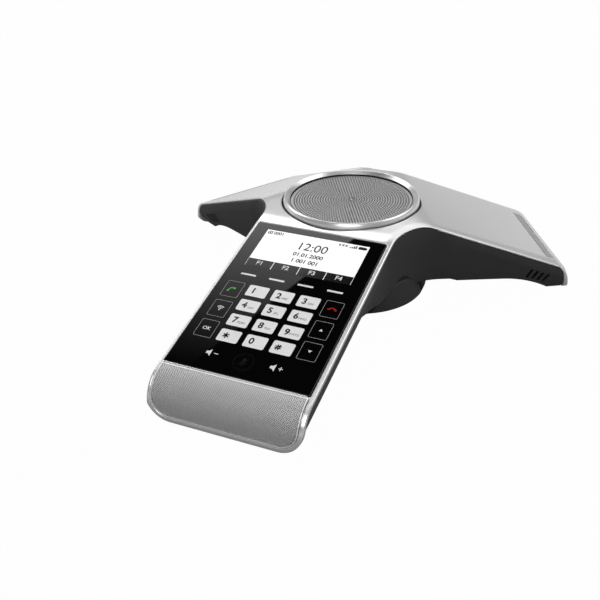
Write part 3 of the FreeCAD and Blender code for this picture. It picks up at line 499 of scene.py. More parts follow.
# near-white paint for the mesh's rim: a real rim, whose colour is partly a painted highlight
def bright_edge(colours):
    look = Finish("bright_edge", (0.93, 0.93, 0.93), 0.3, metallic=0.2)
    return look.tint_change(300, 0.02).material


def dark_cloth(colours):
    look = Finish("dark_cloth", (0.008, 0.008, 0.009), 0.95, Sheen_Weight=0.1)
    weave = look.pattern("ShaderNodeTexChecker", Scale=2500)
    return look.relief(weave.outputs["Fac"], 0.1 * MM, 0.5).material


def black_glass(colours):
    look = Finish("black_glass", colours.glass, 0.02, IOR=1.5)
    return look.tint_change(30, 0.1).material


def screen_face(colours):
    """Lit display: a fine check of dots."""
    look = Finish("screen_face", colours.screen, 0.06, Emission_Color=(1, 1, 1, 1), Emission_Strength=0.32)
    dots = look.pattern("ShaderNodeTexChecker", Scale=5600, Color1=(0.86, 0.86, 0.86, 1),
                        Color2=(0.83, 0.83, 0.83, 1))
    look.wire(dots.outputs["Color"], look.shader.inputs["Base Color"])
    return look.material


def key_white(colours):
    look = Finish("key_white", colours.key, 0.08)
    return look.tint_change(500, 0.02).material


def circuit_board(colours):
    look = Finish("circuit_board", (0.012, 0.10, 0.045), 0.35)
    tracks = look.pattern("ShaderNodeTexBrick", Scale=160, Color1=(0.012, 0.10, 0.045, 1),
                          Color2=(0.016, 0.13, 0.06, 1), Mortar=(0.05, 0.20, 0.10, 1), Mortar_Size=0.035)
    look.wire(tracks.outputs["Color"], look.shader.inputs["Base Color"])
    return look.grain(1800, 0.02 * MM).material


def light_lens(colours):
    look = Finish("light_lens", colours.lens, 0.22, Coat_Weight=0.3)
    return look.tint_change(400, 0.06).material


def dark_rubber(colours):
    look = Finish("dark_rubber", (0.016, 0.016, 0.017), 0.78, Specular_IOR_Level=0.3)
    look.tint_change(150, 0.15)
    return look.grain(1600, 0.04 * MM).material


def cone_paper(colours):
    look = Finish("cone_paper", (0.022, 0.022, 0.023), 0.7)
    return look.grain(900, 0.08 * MM, detail=6.0).material


def spider_cloth(colours):
    look = Finish("spider_cloth", (0.42, 0.25, 0.08), 0.75, Sheen_Weight=0.2)
    weave = look.pattern("ShaderNodeTexChecker", Scale=1200)
    return look.relief(weave.outputs["Fac"], 0.2 * MM, 0.6).material


def coil_metal(colours):
    """Enamelled winding: the turns lie round the coil."""
    look = Finish("coil_metal", (0.62, 0.30, 0.14), 0.32, metallic=0.9)
    turns = look.pattern("ShaderNodeTexWave", Scale=900)
    turns.bands_direction = "Z"
    return look.relief(turns.outputs["Fac"], 0.1 * MM, 0.7).material


def plated_steel(colours):
    look = Finish("plated_steel", (0.56, 0.57, 0.58), 0.3, metallic=1.0)
    look.tint_change(220, 0.06)
    return look.sheen_change(700, 0.08, stretch=(1, 8, 1)).material


def ferrite(colours):
    look = Finish("ferrite", (0.035, 0.035, 0.038), 0.7)
    look.tint_change(300, 0.2)
    return look.grain(1200, 0.06 * MM).material


def capsule_metal(colours):
    look = Finish("capsule_metal", (0.62, 0.63, 0.64), 0.34, metallic=1.0)
    return look.sheen_change(800, 0.06).material


def pack_foil(colours):
    look = Finish("pack_foil", (0.07, 0.10, 0.17), 0.36, metallic=0.4)
    look.tint_change(60, 0.1)
    return look.grain(350, 0.15 * MM).material


def ink(name, colour):
    """Printed ink, nearly as glossy as the glass."""
    return Finish("ink_" + name, colour, 0.1).tint_change(2500, 0.04).material


FINISHES = (silver_paint, charcoal_plastic, satin_ring, grille_metal, mesh_metal, bright_edge, dark_cloth,
            black_glass, screen_face, key_white, circuit_board, light_lens, dark_rubber, cone_paper,
            spider_cloth, coil_metal, plated_steel, ferrite, capsule_metal, pack_foil)
GREY_INKS = {"white": 0.80, "grey": 0.30, "dark": 0.05, "dim": 0.012, "black": 0.006}


def finish_of(look):
    return bpy.data.materials["phone_" + look]


class PHONE_OT_finishes(bpy.types.Operator):
    """Make every finish and give each carried-over node its own"""
    bl_idname = "phone.finishes"
    bl_label = "Finishes"

    def execute(self, context):
        colours = context.scene.phone_colours
        for maker in FINISHES:
            maker(colours)
        for name, level in GREY_INKS.items():
            ink(name, (level, level, level))
        ink("green", colours.green)
        ink("red", colours.red)
        for subpart in frame["record"]["subparts"]:
            node = frame["nodes"][subpart["node"]]
            node.data.materials.clear()
            node.data.materials.append(finish_of(subpart["material_slot"]))
        return {"FINISHED"}


class PHONE_OT_shells(bpy.types.Operator):
    """Round the edges of the silver upper shell and of the dark lower shell"""
    bl_idname = "phone.shells"
    bl_label = "Shells"

    def execute(self, context):
        sizes = context.scene.phone_sizes
        self.soften("top_shell", "silver_shell", "silver_paint", sizes.shell_edge)
        self.soften("bottom_shell", "dark_shell", "charcoal_plastic", sizes.dark_edge)
        return {"FINISHED"}

    def soften(self, node, name, slot, edge):
        piece = bpy.data.objects.new(name, frame["nodes"][node].data.copy())
        piece.data.name = name
        bpy.context.scene.collection.objects.link(piece)
        edit(piece)
        bpy.ops.mesh.select_all(action="SELECT")
        bpy.ops.mesh.remove_doubles(threshold=MERGE)
        leave_edit()
        round_off(piece, edge, 40, use_clamp_overlap=False, miter_outer="MITER_ARC")
        smooth(piece, 50)
        level_shading(piece, 60)
        finish(piece, slot, replaces=[node])


class PHONE_OT_pedestal(bpy.types.Operator):
    """Lay an arched face on the pedestal below each hollow corner, with a dark seam of painted shade above
    and beside it
    """
    bl_idname = "phone.pedestal"
    bl_label = "Pedestal"

    CORNERS = (-150, -30, 90)
    # how far a face stands out of the pedestal at its ends and in its middle, and how deep it is set in
    SHADE_SEAM_PROUD = (0.1 * MM, 1.1 * MM)
    FACE_PROUD = (0.6 * MM, 1.8 * MM)
    SET_IN = 0.4 * MM
    EDGE = 0.6 * MM
    # height of an arch at its ends, as a share of its rise
    FOOT = 0.03
    SOCKET_MARGIN = 0.9 * MM
    SOCKET_REACH = 10 * MM

    def execute(self, context):
        sizes = context.scene.phone_sizes
        # painted shade: the seam is dark rubber set round each face, standing in for the shadow in the gap
        self.lay("pedestal_seam", "dark_rubber", sizes, self.SHADE_SEAM_PROUD, sizes.shade_seam_width, sizes.shade_seam_side)
        self.lay("pedestal_face", "charcoal_plastic", sizes, self.FACE_PROUD)
        return {"FINISHED"}

    def lay(self, name, slot, sizes, proud, above=0, beside=0):
        arches = [self.arch(sizes, math.radians(corner), proud, above, beside) for corner in self.CORNERS]
        piece = join(arches, name)
        thicken(piece, proud[1] + self.SET_IN)
        self.open_socket(piece, sizes)
        round_off(piece, self.EDGE)
        smooth(piece)
        finish(piece, slot)

    def arch(self, sizes, turn, proud, above, beside):
        """A flat grid with an arched top, bent round the pedestal and proudest in its middle."""
        grid = bpy.ops.mesh.primitive_grid_add
        start_piece("arch", grid, x_subdivisions=40, y_subdivisions=6, size=1)
        sheet = leave_edit()
        low = sizes.face_low
        rise = sizes.face_top + above - low
        half = sizes.face_half + beside
        ends, middle = proud

        def bend(spot):
            angle = turn + 2 * half * spot.x
            bow = 1 - (2 * spot.x) ** 2
            radius = sizes.pedestal_radius + ends + (middle - ends) * bow
            height = rise * max(bow, self.FOOT) * (spot.y + 0.5)
            return Vector((HUB.x + radius * math.cos(angle), HUB.y + radius * math.sin(angle), low + height))

        reshape(sheet, bend)
        return sheet

    def open_socket(self, piece, sizes):
        """Cuts the way to the charging socket through the rear face."""
        low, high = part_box("charge_socket")
        start_piece("socket_way", bpy.ops.mesh.primitive_cube_add, size=1)
        way = leave_edit()
        width = high.x - low.x + 2 * self.SOCKET_MARGIN
        height = high.z - low.z + 2 * self.SOCKET_MARGIN
        middle = Vector(((low.x + high.x) / 2, HUB.y + sizes.pedestal_radius, (low.z + high.z) / 2))
        size = Matrix.Diagonal((width, self.SOCKET_REACH, height, 1))
        way.data.transform(Matrix.Translation(middle) @ size)
        apply_modifier(piece, "BOOLEAN", object=way, operation="DIFFERENCE", solver="EXACT")
        bpy.data.objects.remove(way)


class PHONE_OT_speaker_ring(bpy.types.Operator):
    """Turn the satin ring, and dark rubber rings of painted shade: a seal in the gap round it and a gasket
    inside it
    """
    bl_idname = "phone.speaker_ring"
    bl_label = "Loudspeaker ring"

    # inset from the outer edge and drop from the crest, in millimetres
    CROWN = ((0, 2.6), (0.3, 1.5), (0.7, 0.75), (1.15, 0.27), (1.6, 0.05), (2.0, 0), (2.4, 0.2), (4.6, 2.2))
    MOUTH_INSET = 3.7 * MM
    CLOTH_GAP = 0.3 * MM
    GRILLE_GAP = 0.15 * MM
    EDGE = 0.35 * MM

    def execute(self, context):
        sizes = context.scene.phone_sizes
        radius = (RING_HIGH.x - RING_LOW.x) / 2
        seat, lip = (corner.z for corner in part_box("speaker_grille"))
        crown = [(radius - inset * MM, RING_HIGH.z - drop * MM) for inset, drop in self.CROWN]
        self.ring(radius, crown, seat, lip + self.GRILLE_GAP)
        gap = sizes.ring_gap
        top = RING_HIGH.z - sizes.shade_seal_drop
        # painted shade: a dark rubber seal fills the gap round the ring, up to below its crest
        self.shade_ring("ring_seal", [(radius, RING_LOW.z), (radius + gap, RING_LOW.z), (radius + gap, top),
                                     (radius + gap / 2, top + gap / 3), (radius, top)])
        # painted shade: a dark gasket covers the ring's inner wall from the grille up to the crown's inner
        # end
        outside, crest = crown[-1]
        inside = outside - sizes.gasket
        self.shade_ring("grille_gasket", [(inside, lip), (outside, lip), (outside, crest), (inside, crest)])
        return {"FINISHED"}

    def ring(self, radius, crown, seat, roof):
        low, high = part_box("grille_cloth")
        bore = (high.x - low.x) / 2 + self.CLOTH_GAP
        mouth = radius - self.MOUTH_INSET
        foot = [(bore, RING_LOW.z), (radius, RING_LOW.z)]
        rebate = [(crown[-1][0], roof), (mouth, roof), (mouth, seat), (bore, seat)]
        ring = turned("satin_trim", foot + crown + rebate)
        round_off(ring, self.EDGE, 10)
        smooth(ring, 40)
        finish(ring, "satin_ring", replaces=["speaker_ring"])

    # a dark rubber ring, laid as painted shade in a shadowed gap
    def shade_ring(self, name, profile):
        piece = turned(name, profile)
        smooth(piece)
        finish(piece, "dark_rubber")


class PHONE_OT_speaker_grille(bpy.types.Operator):
    """Punch the round grille: each row has six holes more than the row inside it"""
    bl_idname = "phone.speaker_grille"
    bl_label = "Loudspeaker grille"

    # shares of the pitch: the middle button's radius, and where the rim starts past the last row
    BUTTON = 0.52
    RIM_START = 0.48
    # the sheet's thickness, as a share of the whole grille's
    SHEET = 0.7

    def execute(self, context):
        sizes = context.scene.phone_sizes
        low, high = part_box("speaker_grille")
        radius = (high.x - low.x) / 2
        pitch = sizes.grille_pitch
        rows = int((radius - sizes.grille_rim) / pitch)
        bands = [self.band(row, pitch, sizes.grille_hole) for row in range(1, rows + 1)]
        bands.append(self.button(self.BUTTON * pitch))
        bands.append(self.rim((rows + self.RIM_START) * pitch, radius))
        grille = join(bands, "perforated_grille")
        grille.data.transform(Matrix.Translation((HUB.x, HUB.y, high.z)))
        thicken(grille, self.SHEET * (high.z - low.z))
        finish(grille, "grille_metal", replaces=["speaker_grille"])
        return {"FINISHED"}

    def band(self, row, pitch, hole):
        """One row of holes, punched in a straight strip that is then bent round."""
        holes = 6 * row
        length = holes * pitch * math.pi / 3
        grid = bpy.ops.mesh.primitive_grid_add
        strip = start_piece("grille_band", grid, x_subdivisions=holes, y_subdivisions=1, size=1)
        bpy.ops.transform.resize(value=(length, pitch, 1))
        punch_holes(strip, pitch, hole, eight_sided=True)
        leave_edit()
        # the band's inner edge closes on the chords of the row inside it
        sag = (row - 0.5) * pitch * (1 - math.cos(math.pi / (holes - 6))) if row > 1 else 0

        def bend(spot):
            angle = -2 * math.pi * spot.x / length
            radius = row * pitch + spot.y - (sag if spot.y < -0.49 * pitch else 0)
            return Vector((radius * math.cos(angle), radius * math.sin(angle), 0))

        reshape(strip, bend)
        return strip

    def button(self, radius):
        circle = bpy.ops.mesh.primitive_circle_add
        start_piece("grille_button", circle, vertices=18, radius=radius, fill_type="NGON")
        bpy.ops.mesh.poke()
        return leave_edit()

    def rim(self, inner, outer):
        start_piece("grille_edge", bpy.ops.mesh.primitive_circle_add, vertices=180, radius=outer)
        bpy.ops.mesh.extrude_edges_move()
        bpy.ops.transform.resize(value=(inner / outer, inner / outer, 1), center_override=(0, 0, 0))
        face_outwards()
        edge = leave_edit()
        if edge.data.polygons[0].normal.z < 0:
            edge.data.flip_normals()
        return edge


class PHONE_OT_front_mesh(bpy.types.Operator):
    """Punch the mesh of the front tip flat and bend it over the tip, with its rim and backing"""
    bl_idname = "phone.front_mesh"
    bl_label = "Front mesh"

    SLICES = 44
    SHEET = 0.45 * MM
    RIM_LIFT = 0.25 * MM
    RIM_THICK = 0.7 * MM
    RIM_EDGE = 0.2 * MM
    BACKING_DROP = 0.75 * MM
    BACKING_THICK = 0.15 * MM

    def execute(self, context):
        sizes = context.scene.phone_sizes
        tip = TipProfile(sizes)
        sheet = self.sheet(tip, sizes)
        thicken(sheet, self.SHEET)
        finish(sheet, "mesh_metal", replaces=["front_mesh"])
        # the rim's near-white finish is partly a painted highlight along the mesh's edge
        rim = self.blank("mesh_rim", tip, sizes, self.RIM_LIFT, sizes.mesh_gap, sizes.mesh_rim)
        thicken(rim, self.RIM_THICK)
        round_off(rim, self.RIM_EDGE, segments=2)
        smooth(rim)
        finish(rim, "bright_edge")
        backing = self.blank("mesh_backing", tip, sizes, -self.BACKING_DROP)
        thicken(backing, self.BACKING_THICK)
        finish(backing, "dark_cloth")
        return {"FINISHED"}

    def sheet(self, tip, sizes):
        pitch = sizes.mesh_pitch
        margin = sizes.mesh_gap + pitch / 2
        cells = math.ceil((tip.width + tip.length) / math.sqrt(2) / pitch)
        grid = bpy.ops.mesh.primitive_grid_add
        sheet = start_piece("mesh_sheet", grid, x_subdivisions=cells, y_subdivisions=cells,
                            size=cells * pitch)
        bpy.ops.transform.rotate(value=math.pi / 4, orient_axis="Z", center_override=(0, 0, 0))
        bpy.ops.transform.translate(value=(0, -tip.length / 2, 0))
        select_where(sheet, "FACE",
                     lambda face: not self.inside(face.calc_center_median(), tip, sizes, margin))
        bpy.ops.mesh.delete(type="FACE")
        punch_holes(sheet, pitch, sizes.mesh_hole)
        leave_edit()
        reshape(sheet, lambda spot: tip.place(spot.x, -spot.y, 0))
        return sheet

    def inside(self, spot, tip, sizes, margin):
        """Whether a point of the flat sheet lies within its outline."""
        across = tip.width / 2 - abs(spot.x)
        below = tip.length + spot.y
        radius = sizes.mesh_corner
        if across < radius and below < radius:
            return math.hypot(radius - across, radius - below) < radius - margin
        return across > margin and below > margin and -spot.y > margin

    def blank(self, name, tip, sizes, lift, margin=0, rim=0):
        """The flat outline of the mesh, or a band along it, bent over the tip."""
        piece = start_piece(name, bpy.ops.mesh.primitive_plane_add, size=1)
        bpy.ops.transform.resize(value=(tip.width, tip.length, 1))
        bpy.ops.transform.translate(value=(0, -tip.length / 2, 0))
        select_where(piece, "VERT", lambda corner: corner.co.y < -tip.length / 2)
        bpy.ops.mesh.bevel(affect="VERTICES", offset=sizes.mesh_corner, segments=12)
        if rim:
            bpy.ops.mesh.select_all(action="SELECT")
            bpy.ops.mesh.inset(thickness=margin)
            bpy.ops.mesh.select_all(action="INVERT")
            bpy.ops.mesh.delete(type="FACE")
            bpy.ops.mesh.select_all(action="SELECT")
            bpy.ops.mesh.inset(thickness=rim)
            bpy.ops.mesh.delete(type="FACE")
        for cut in range(1, self.SLICES):
            bpy.ops.mesh.select_all(action="SELECT")
            bpy.ops.mesh.bisect(plane_co=(0, -cut * tip.length / self.SLICES, 0), plane_no=(0, 1, 0))
        leave_edit()
        reshape(piece, lambda spot: tip.place(spot.x, -spot.y, lift))
        return piece


class PanelPrint:
    """Flat shapes on the glass, in the panel's own millimetres, joined by finish."""

    # height of a digit as a share of the text's size
    DIGIT_SHARE = 0.7
    BODY_DEPTH = 2 * MM
    BODY_CORNER = 0.5 * MM

    def __init__(self, sizes):
        self.place, *_, self.thickness = panel_frame(sizes.panel_slope)
        self.lift = sizes.print_lift
        self.layers = {}

    def put(self, piece, material, x, down, layer, turn=0):
        spot = Matrix.Translation((x * MM, -down * MM, layer * self.lift))
        piece.data.transform(self.place @ spot @ Matrix.Rotation(turn, 4, "Z"))
        self.layers.setdefault(material, []).append(piece)

    def plate(self, material, x, down, width, length, corner=0, layer=1, turn=0):
        piece = rounded_plate("print", width * MM, length * MM, corner * MM, self.lift)
        self.put(piece, material, x, down, layer, turn)

    def outline(self, material, x, down, width, length, corner, line, layer=1):
        """A thin line round a key."""
        piece = rounded_plate("print", width * MM, length * MM, corner * MM, 0)
        edit(piece)
        bpy.ops.mesh.select_all(action="SELECT")
        bpy.ops.mesh.inset(thickness=line * MM)
        bpy.ops.mesh.delete(type="FACE")
        leave_edit()
        thicken(piece, self.lift)
        self.put(piece, material, x, down, layer)

    def words(self, material, text, x, down, height, layer=1, weight=0.0, turn=0):
        """Lettering, with its strokes made broader by a weight."""
        bpy.ops.object.select_all(action="DESELECT")
        bpy.ops.object.text_add()
        letters = bpy.context.object.data
        letters.body = text
        letters.size = height * MM / self.DIGIT_SHARE
        letters.offset = weight * MM
        letters.align_x = "CENTER"
        letters.align_y = "CENTER"
        bpy.ops.object.convert(target="MESH")
        piece = bpy.context.object
        thicken(piece, self.lift)
        edit(piece)
        face_outwards()
        leave_edit()
        self.put(piece, material, x, down, layer, turn)

    def shape(self, material, points, x, down):
        mesh = bpy.data.meshes.new("print")
        mesh.from_pydata([(a * MM, b * MM, 0) for a, b in points], [], [list(range(len(points)))])
        piece = bpy.data.objects.new("print", mesh)
        bpy.context.scene.collection.objects.link(piece)
        thicken(piece, self.lift)
        self.put(piece, material, x, down, 1)

    def arc(self, material, radius, line, start, end, x, down, steps=24):
        """A bow of a given line width, from one angle to another in degrees."""
        angles = [math.radians(start + (end - start) * i / steps) for i in range(steps + 1)]
        inner = radius - line / 2
        outer = radius + line / 2
        points = [(outer * math.cos(angle), outer * math.sin(angle)) for angle in angles]
        points += [(inner * math.cos(angle), inner * math.sin(angle)) for angle in reversed(angles)]
        self.shape(material, points, x, down)

    def star(self, material, x, down, radius, line, layer):
        """Three bars crossed at their middles."""
        for turn in (90, 30, 150):
            self.plate(material, x, down, 2 * radius, line, layer=layer, turn=math.radians(turn))

    def hash_sign(self, material, x, down, size, line, layer):
        """Two level bars crossed by two that lean."""
        for shift in (-size / 6, size / 6):
            self.plate(material, x, down + shift, size, line, layer=layer)
            self.plate(material, x + shift, down, line, size, layer=layer, turn=math.radians(-12))

    def finish(self, name, material, slot, body=None, replaces=()):
        """Joins what was put in one finish, with the hidden part behind the glass if it has one."""
        pieces = self.layers.pop(material)
        if body:
            pieces.append(self.hidden_body(*body))
        finish(join(pieces, name), material, replaces)

    def hidden_body(self, down, width, length):
        body = rounded_plate("body", width, length, self.BODY_CORNER, self.BODY_DEPTH)
        body.data.transform(self.place @ Matrix.Translation((0, -down, -self.thickness)))
        return body


class PHONE_OT_panel_glass(bpy.types.Operator):
    """Lay the sheet of black glass in the front arm"""
    bl_idname = "phone.panel_glass"
    bl_label = "Glass"

    CORNER = 0.8 * MM

    def execute(self, context):
        sizes = context.scene.phone_sizes
        place, width, length, thickness = panel_frame(sizes.panel_slope)
        glass = rounded_plate("glass_sheet", width, length, self.CORNER, thickness)
        round_off(glass, sizes.glass_edge)
        smooth(glass)
        level_shading(glass, 100)
        glass.data.transform(place @ Matrix.Translation((0, -length / 2, 0)))
        finish(glass, "black_glass", replaces=["panel_glass"])
        return {"FINISHED"}


class PHONE_OT_display(bpy.types.Operator):
    """Print the lit display: clock, status marks and four soft-key fields"""
    bl_idname = "phone.display"
    bl_label = "Display"

    # text, distance below the display's upper edge, height and weight, in millimetres
    CLOCK = (("12:00", 10.2, 6.6, 0.05), ("01.01.2000", 17.6, 3.2, 0.12), ("1 001 001", 23.2, 3.2, 0.12))
    CLOCK_X = 0.4
    FIELDS = 4
    # soft-key fields: height, and the light line between two
    FIELD = 6.8
    FIELD_LINE = 0.4
    MARK_ROW = 2.4
    NUMBER_ROW = 2.5

    def execute(self, context):
        sizes = context.scene.phone_sizes
        sheet = PanelPrint(sizes)
        width = sizes.screen_width / MM
        length = sizes.screen_length / MM
        top = sizes.screen_top / MM
        middle = top + length / 2
        sheet.plate("screen_face", 0, middle, width, length)
        self.soft_keys(sheet, width, top + length)
        for text, down, height, weight in self.CLOCK:
            sheet.words("ink_black", text, self.CLOCK_X, top + down, height, layer=2, weight=weight)
        self.number(sheet, -width / 2, top + self.NUMBER_ROW)
        self.marks(sheet, width / 2, top + self.MARK_ROW)
        sheet.finish("display_unit", "screen_face", "screen_face",
                     (middle * MM, sizes.screen_width, sizes.screen_length), ["display_module"])
        sheet.finish("display_dark_print", "ink_black", "black_glass")
        sheet.finish("display_light_print", "ink_white", "key_white")
        sheet.finish("display_grey_print", "ink_grey", "key_white")
        return {"FINISHED"}

    def soft_keys(self, sheet, width, bottom):
        field = width / self.FIELDS
        for column in range(self.FIELDS):
            x = (column - (self.FIELDS - 1) / 2) * field
            sheet.plate("ink_black", x, bottom - 3.3, field - self.FIELD_LINE, self.FIELD, layer=2)
            sheet.words("ink_white", "F%d" % (column + 1), x, bottom - 3.4, 3.3, layer=3, weight=0.12)

    def number(self, sheet, left, down):
        """A handset's sign and a short number."""
        sheet.outline("ink_black", left + 2.9, down, 3.4, 2.8, 0.6, 0.6, layer=2)
        sheet.plate("ink_black", left + 2.9, down, 1.2, 1.0, 0.2, layer=2)
        sheet.words("ink_black", "0001", left + 9.0, down, 2.6, layer=2, weight=0.1)

    def marks(self, sheet, right, down):
        """Three marks, the bars of the radio's strength and a full battery."""
        for mark in range(3):
            sheet.plate("ink_grey", right - 19.2 + 2.2 * mark, down, 1.5, 2.0, 0.3, layer=2)
        for bar in range(4):
            height = 0.8 + 0.6 * bar
            sheet.plate("ink_black", right - 11.9 + 1.25 * bar, down + 1.3 - height / 2, 0.9, height, layer=2)
        sheet.plate("ink_black", right - 4.2, down, 5.0, 2.5, 0.3, layer=2)
        sheet.plate("ink_black", right - 1.4, down, 0.8, 1.2, layer=2)


class PHONE_OT_keypad(bpy.types.Operator):
    """Print the twelve number keys with their digits and letter groups"""
    bl_idname = "phone.keypad"
    bl_label = "Number keys"

    FACES = (("1", ""), ("2", "ABC"), ("3", "DEF"), ("4", "GHI"), ("5", "JKL"), ("6", "MNO"),
             ("7", "PQRS"), ("8", "TUV"), ("9", "WXYZ"), ("*", ""), ("0", ""), ("#", ""))
    KEY_CORNER = 1.1
    DIGIT_X = -2.5
    DIGIT_HEIGHT = 4.2
    DIGIT_WEIGHT = 0.22
    LETTERS_X = 2.0
    LETTERS_DOWN = 1.2
    LETTERS_HEIGHT = 1.5
    BODY_MARGIN = 5 * MM

    def execute(self, context):
        sizes = context.scene.phone_sizes
        sheet = PanelPrint(sizes)
        width = sizes.key_width / MM
        length = sizes.key_length / MM
        for index, (sign, letters) in enumerate(self.FACES):
            x = (index % 3 - 1) * sizes.key_across / MM
            down = (sizes.key_top + (index // 3) * sizes.key_down) / MM + length / 2
            sheet.plate("key_white", x, down, width, length, self.KEY_CORNER)
            self.sign(sheet, sign, x, down)
            if letters:
                sheet.words("ink_dark", letters, x + self.LETTERS_X, down + self.LETTERS_DOWN,
                            self.LETTERS_HEIGHT, layer=2)
        span = 3 * sizes.key_down + sizes.key_length
        body_width = 2 * sizes.key_across + sizes.key_width + 2 * self.BODY_MARGIN
        sheet.finish("number_keys", "key_white", "key_white",
                     (sizes.key_top + span / 2, body_width, span + 2 * self.BODY_MARGIN), ["key_light_guide"])
        sheet.finish("key_digits", "ink_black", "black_glass")
        sheet.finish("key_letters", "ink_dark", "black_glass")
        return {"FINISHED"}

    def sign(self, sheet, sign, x, down):
        if sign == "*":
            sheet.star("ink_black", x - 2.0, down, 2.1, 0.85, layer=2)
        elif sign == "#":
            sheet.hash_sign("ink_black", x - 2.6, down, 3.9, 0.78, layer=2)
        else:
            # a nine is a six turned round, because the font's own nine breaks at this weight
            digit, turn = ("6", math.pi) if sign == "9" else (sign, 0)
            sheet.words("ink_black", digit, x + self.DIGIT_X, down, self.DIGIT_HEIGHT, layer=2,
                        weight=self.DIGIT_WEIGHT, turn=turn)


class PHONE_OT_touch_keys(bpy.types.Operator):
    """Print the soft-key bars, the outlined side keys and the volume row"""
    bl_idname = "phone.touch_keys"
    bl_label = "Touch keys"

    # places on the panel, in millimetres
    BARS_X = (-28.65, -9.55, 9.55, 28.65)
    BARS_DOWN = 47.7
    SIDE = 32.4
    ROWS = (61.65, 78.25, 94.55)
    VOLUME_DOWN = 110.5
    MUTE_DOWN = 111.5
    # outlines of the signs, about their middles
    ARROW_UP = ((-1.2, -0.8), (1.2, -0.8), (0, 0.9))
    ARROW_DOWN = ((-1.2, 0.8), (0, -0.9), (1.2, 0.8))
    HORN = ((-2.2, -0.9), (-1.0, -0.9), (0.8, -2.4), (0.8, 2.4), (-1.0, 0.9), (-2.2, 0.9))

    def execute(self, context):
        sheet = PanelPrint(context.scene.phone_sizes)
        for x in self.BARS_X:
            sheet.plate("ink_white", x, self.BARS_DOWN, 10.2, 1.4, 0.5)
        for down in self.ROWS:
            for x in (-self.SIDE, self.SIDE):
                sheet.outline("ink_grey", x, down, 11.4, 13.1, 1.0, 0.28)
        self.handset(sheet, "ink_green", -self.SIDE, self.ROWS[0], math.radians(35))
        self.handset(sheet, "ink_red", self.SIDE, self.ROWS[0], 0)
        self.radio_sign(sheet, -self.SIDE, self.ROWS[1] + 1.2)
        sheet.words("ink_white", "OK", -self.SIDE, self.ROWS[2], 2.4, weight=0.08)
        sheet.shape("ink_white", self.ARROW_UP, self.SIDE, self.ROWS[1])
        sheet.shape("ink_white", self.ARROW_DOWN, self.SIDE, self.ROWS[2])
        self.volume(sheet, -20.4, False)
        self.volume(sheet, 19.2, True)
        self.mute(sheet, 0, self.MUTE_DOWN)
        for name in ("white", "grey", "green", "red"):
            sheet.finish("touch_print_" + name, "ink_" + name, "key_white")
        sheet.finish("touch_print_dim", "ink_dim", "black_glass")
        return {"FINISHED"}

    def handset(self, sheet, material, x, down, turn):
        """A bow with a pad at each end."""
        radius = 2.5
        middle = down + 1.4
        degrees = math.degrees(turn)
        sheet.arc(material, radius, 0.75, 35 + degrees, 145 + degrees, x, middle)
        for side in (-1, 1):
            angle = turn + math.pi / 2 + side * math.radians(55)
            reach = radius - 0.15
            sheet.plate(material, x + reach * math.cos(angle), middle - reach * math.sin(angle),
                        1.9, 1.15, 0.3, turn=turn + side * math.radians(20))

    def radio_sign(self, sheet, x, down):
        """Three bows over a dot."""
        sheet.plate("ink_white", x, down, 0.9, 0.9, 0.42)
        for radius in (1.3, 2.2, 3.1):
            sheet.arc("ink_white", radius, 0.42, 45, 135, x, down)

    def volume(self, sheet, x, louder):
        """A horn with a minus or a plus beside it."""
        long, line = 2.6, 0.48
        sheet.shape("ink_white", self.HORN, x - 1.2, self.VOLUME_DOWN)
        sheet.plate("ink_white", x + 2.9, self.VOLUME_DOWN, long, line)
        if louder:
            sheet.plate("ink_white", x + 2.9, self.VOLUME_DOWN, line, long)

    def mute(self, sheet, x, down):
        """A struck-out microphone in a circle."""
        sheet.arc("ink_dim", 5.8, 0.25, 0, 360, x, down, steps=64)
        sheet.plate("ink_dim", x, down - 0.9, 1.9, 3.4, 0.9)
        sheet.arc("ink_dim", 1.7, 0.35, 180, 360, x, down + 0.2)
        sheet.plate("ink_dim", x, down + 2.5, 0.4, 1.4)
        sheet.plate("ink_dim", x, down, 0.4, 6.4, turn=math.radians(-45))


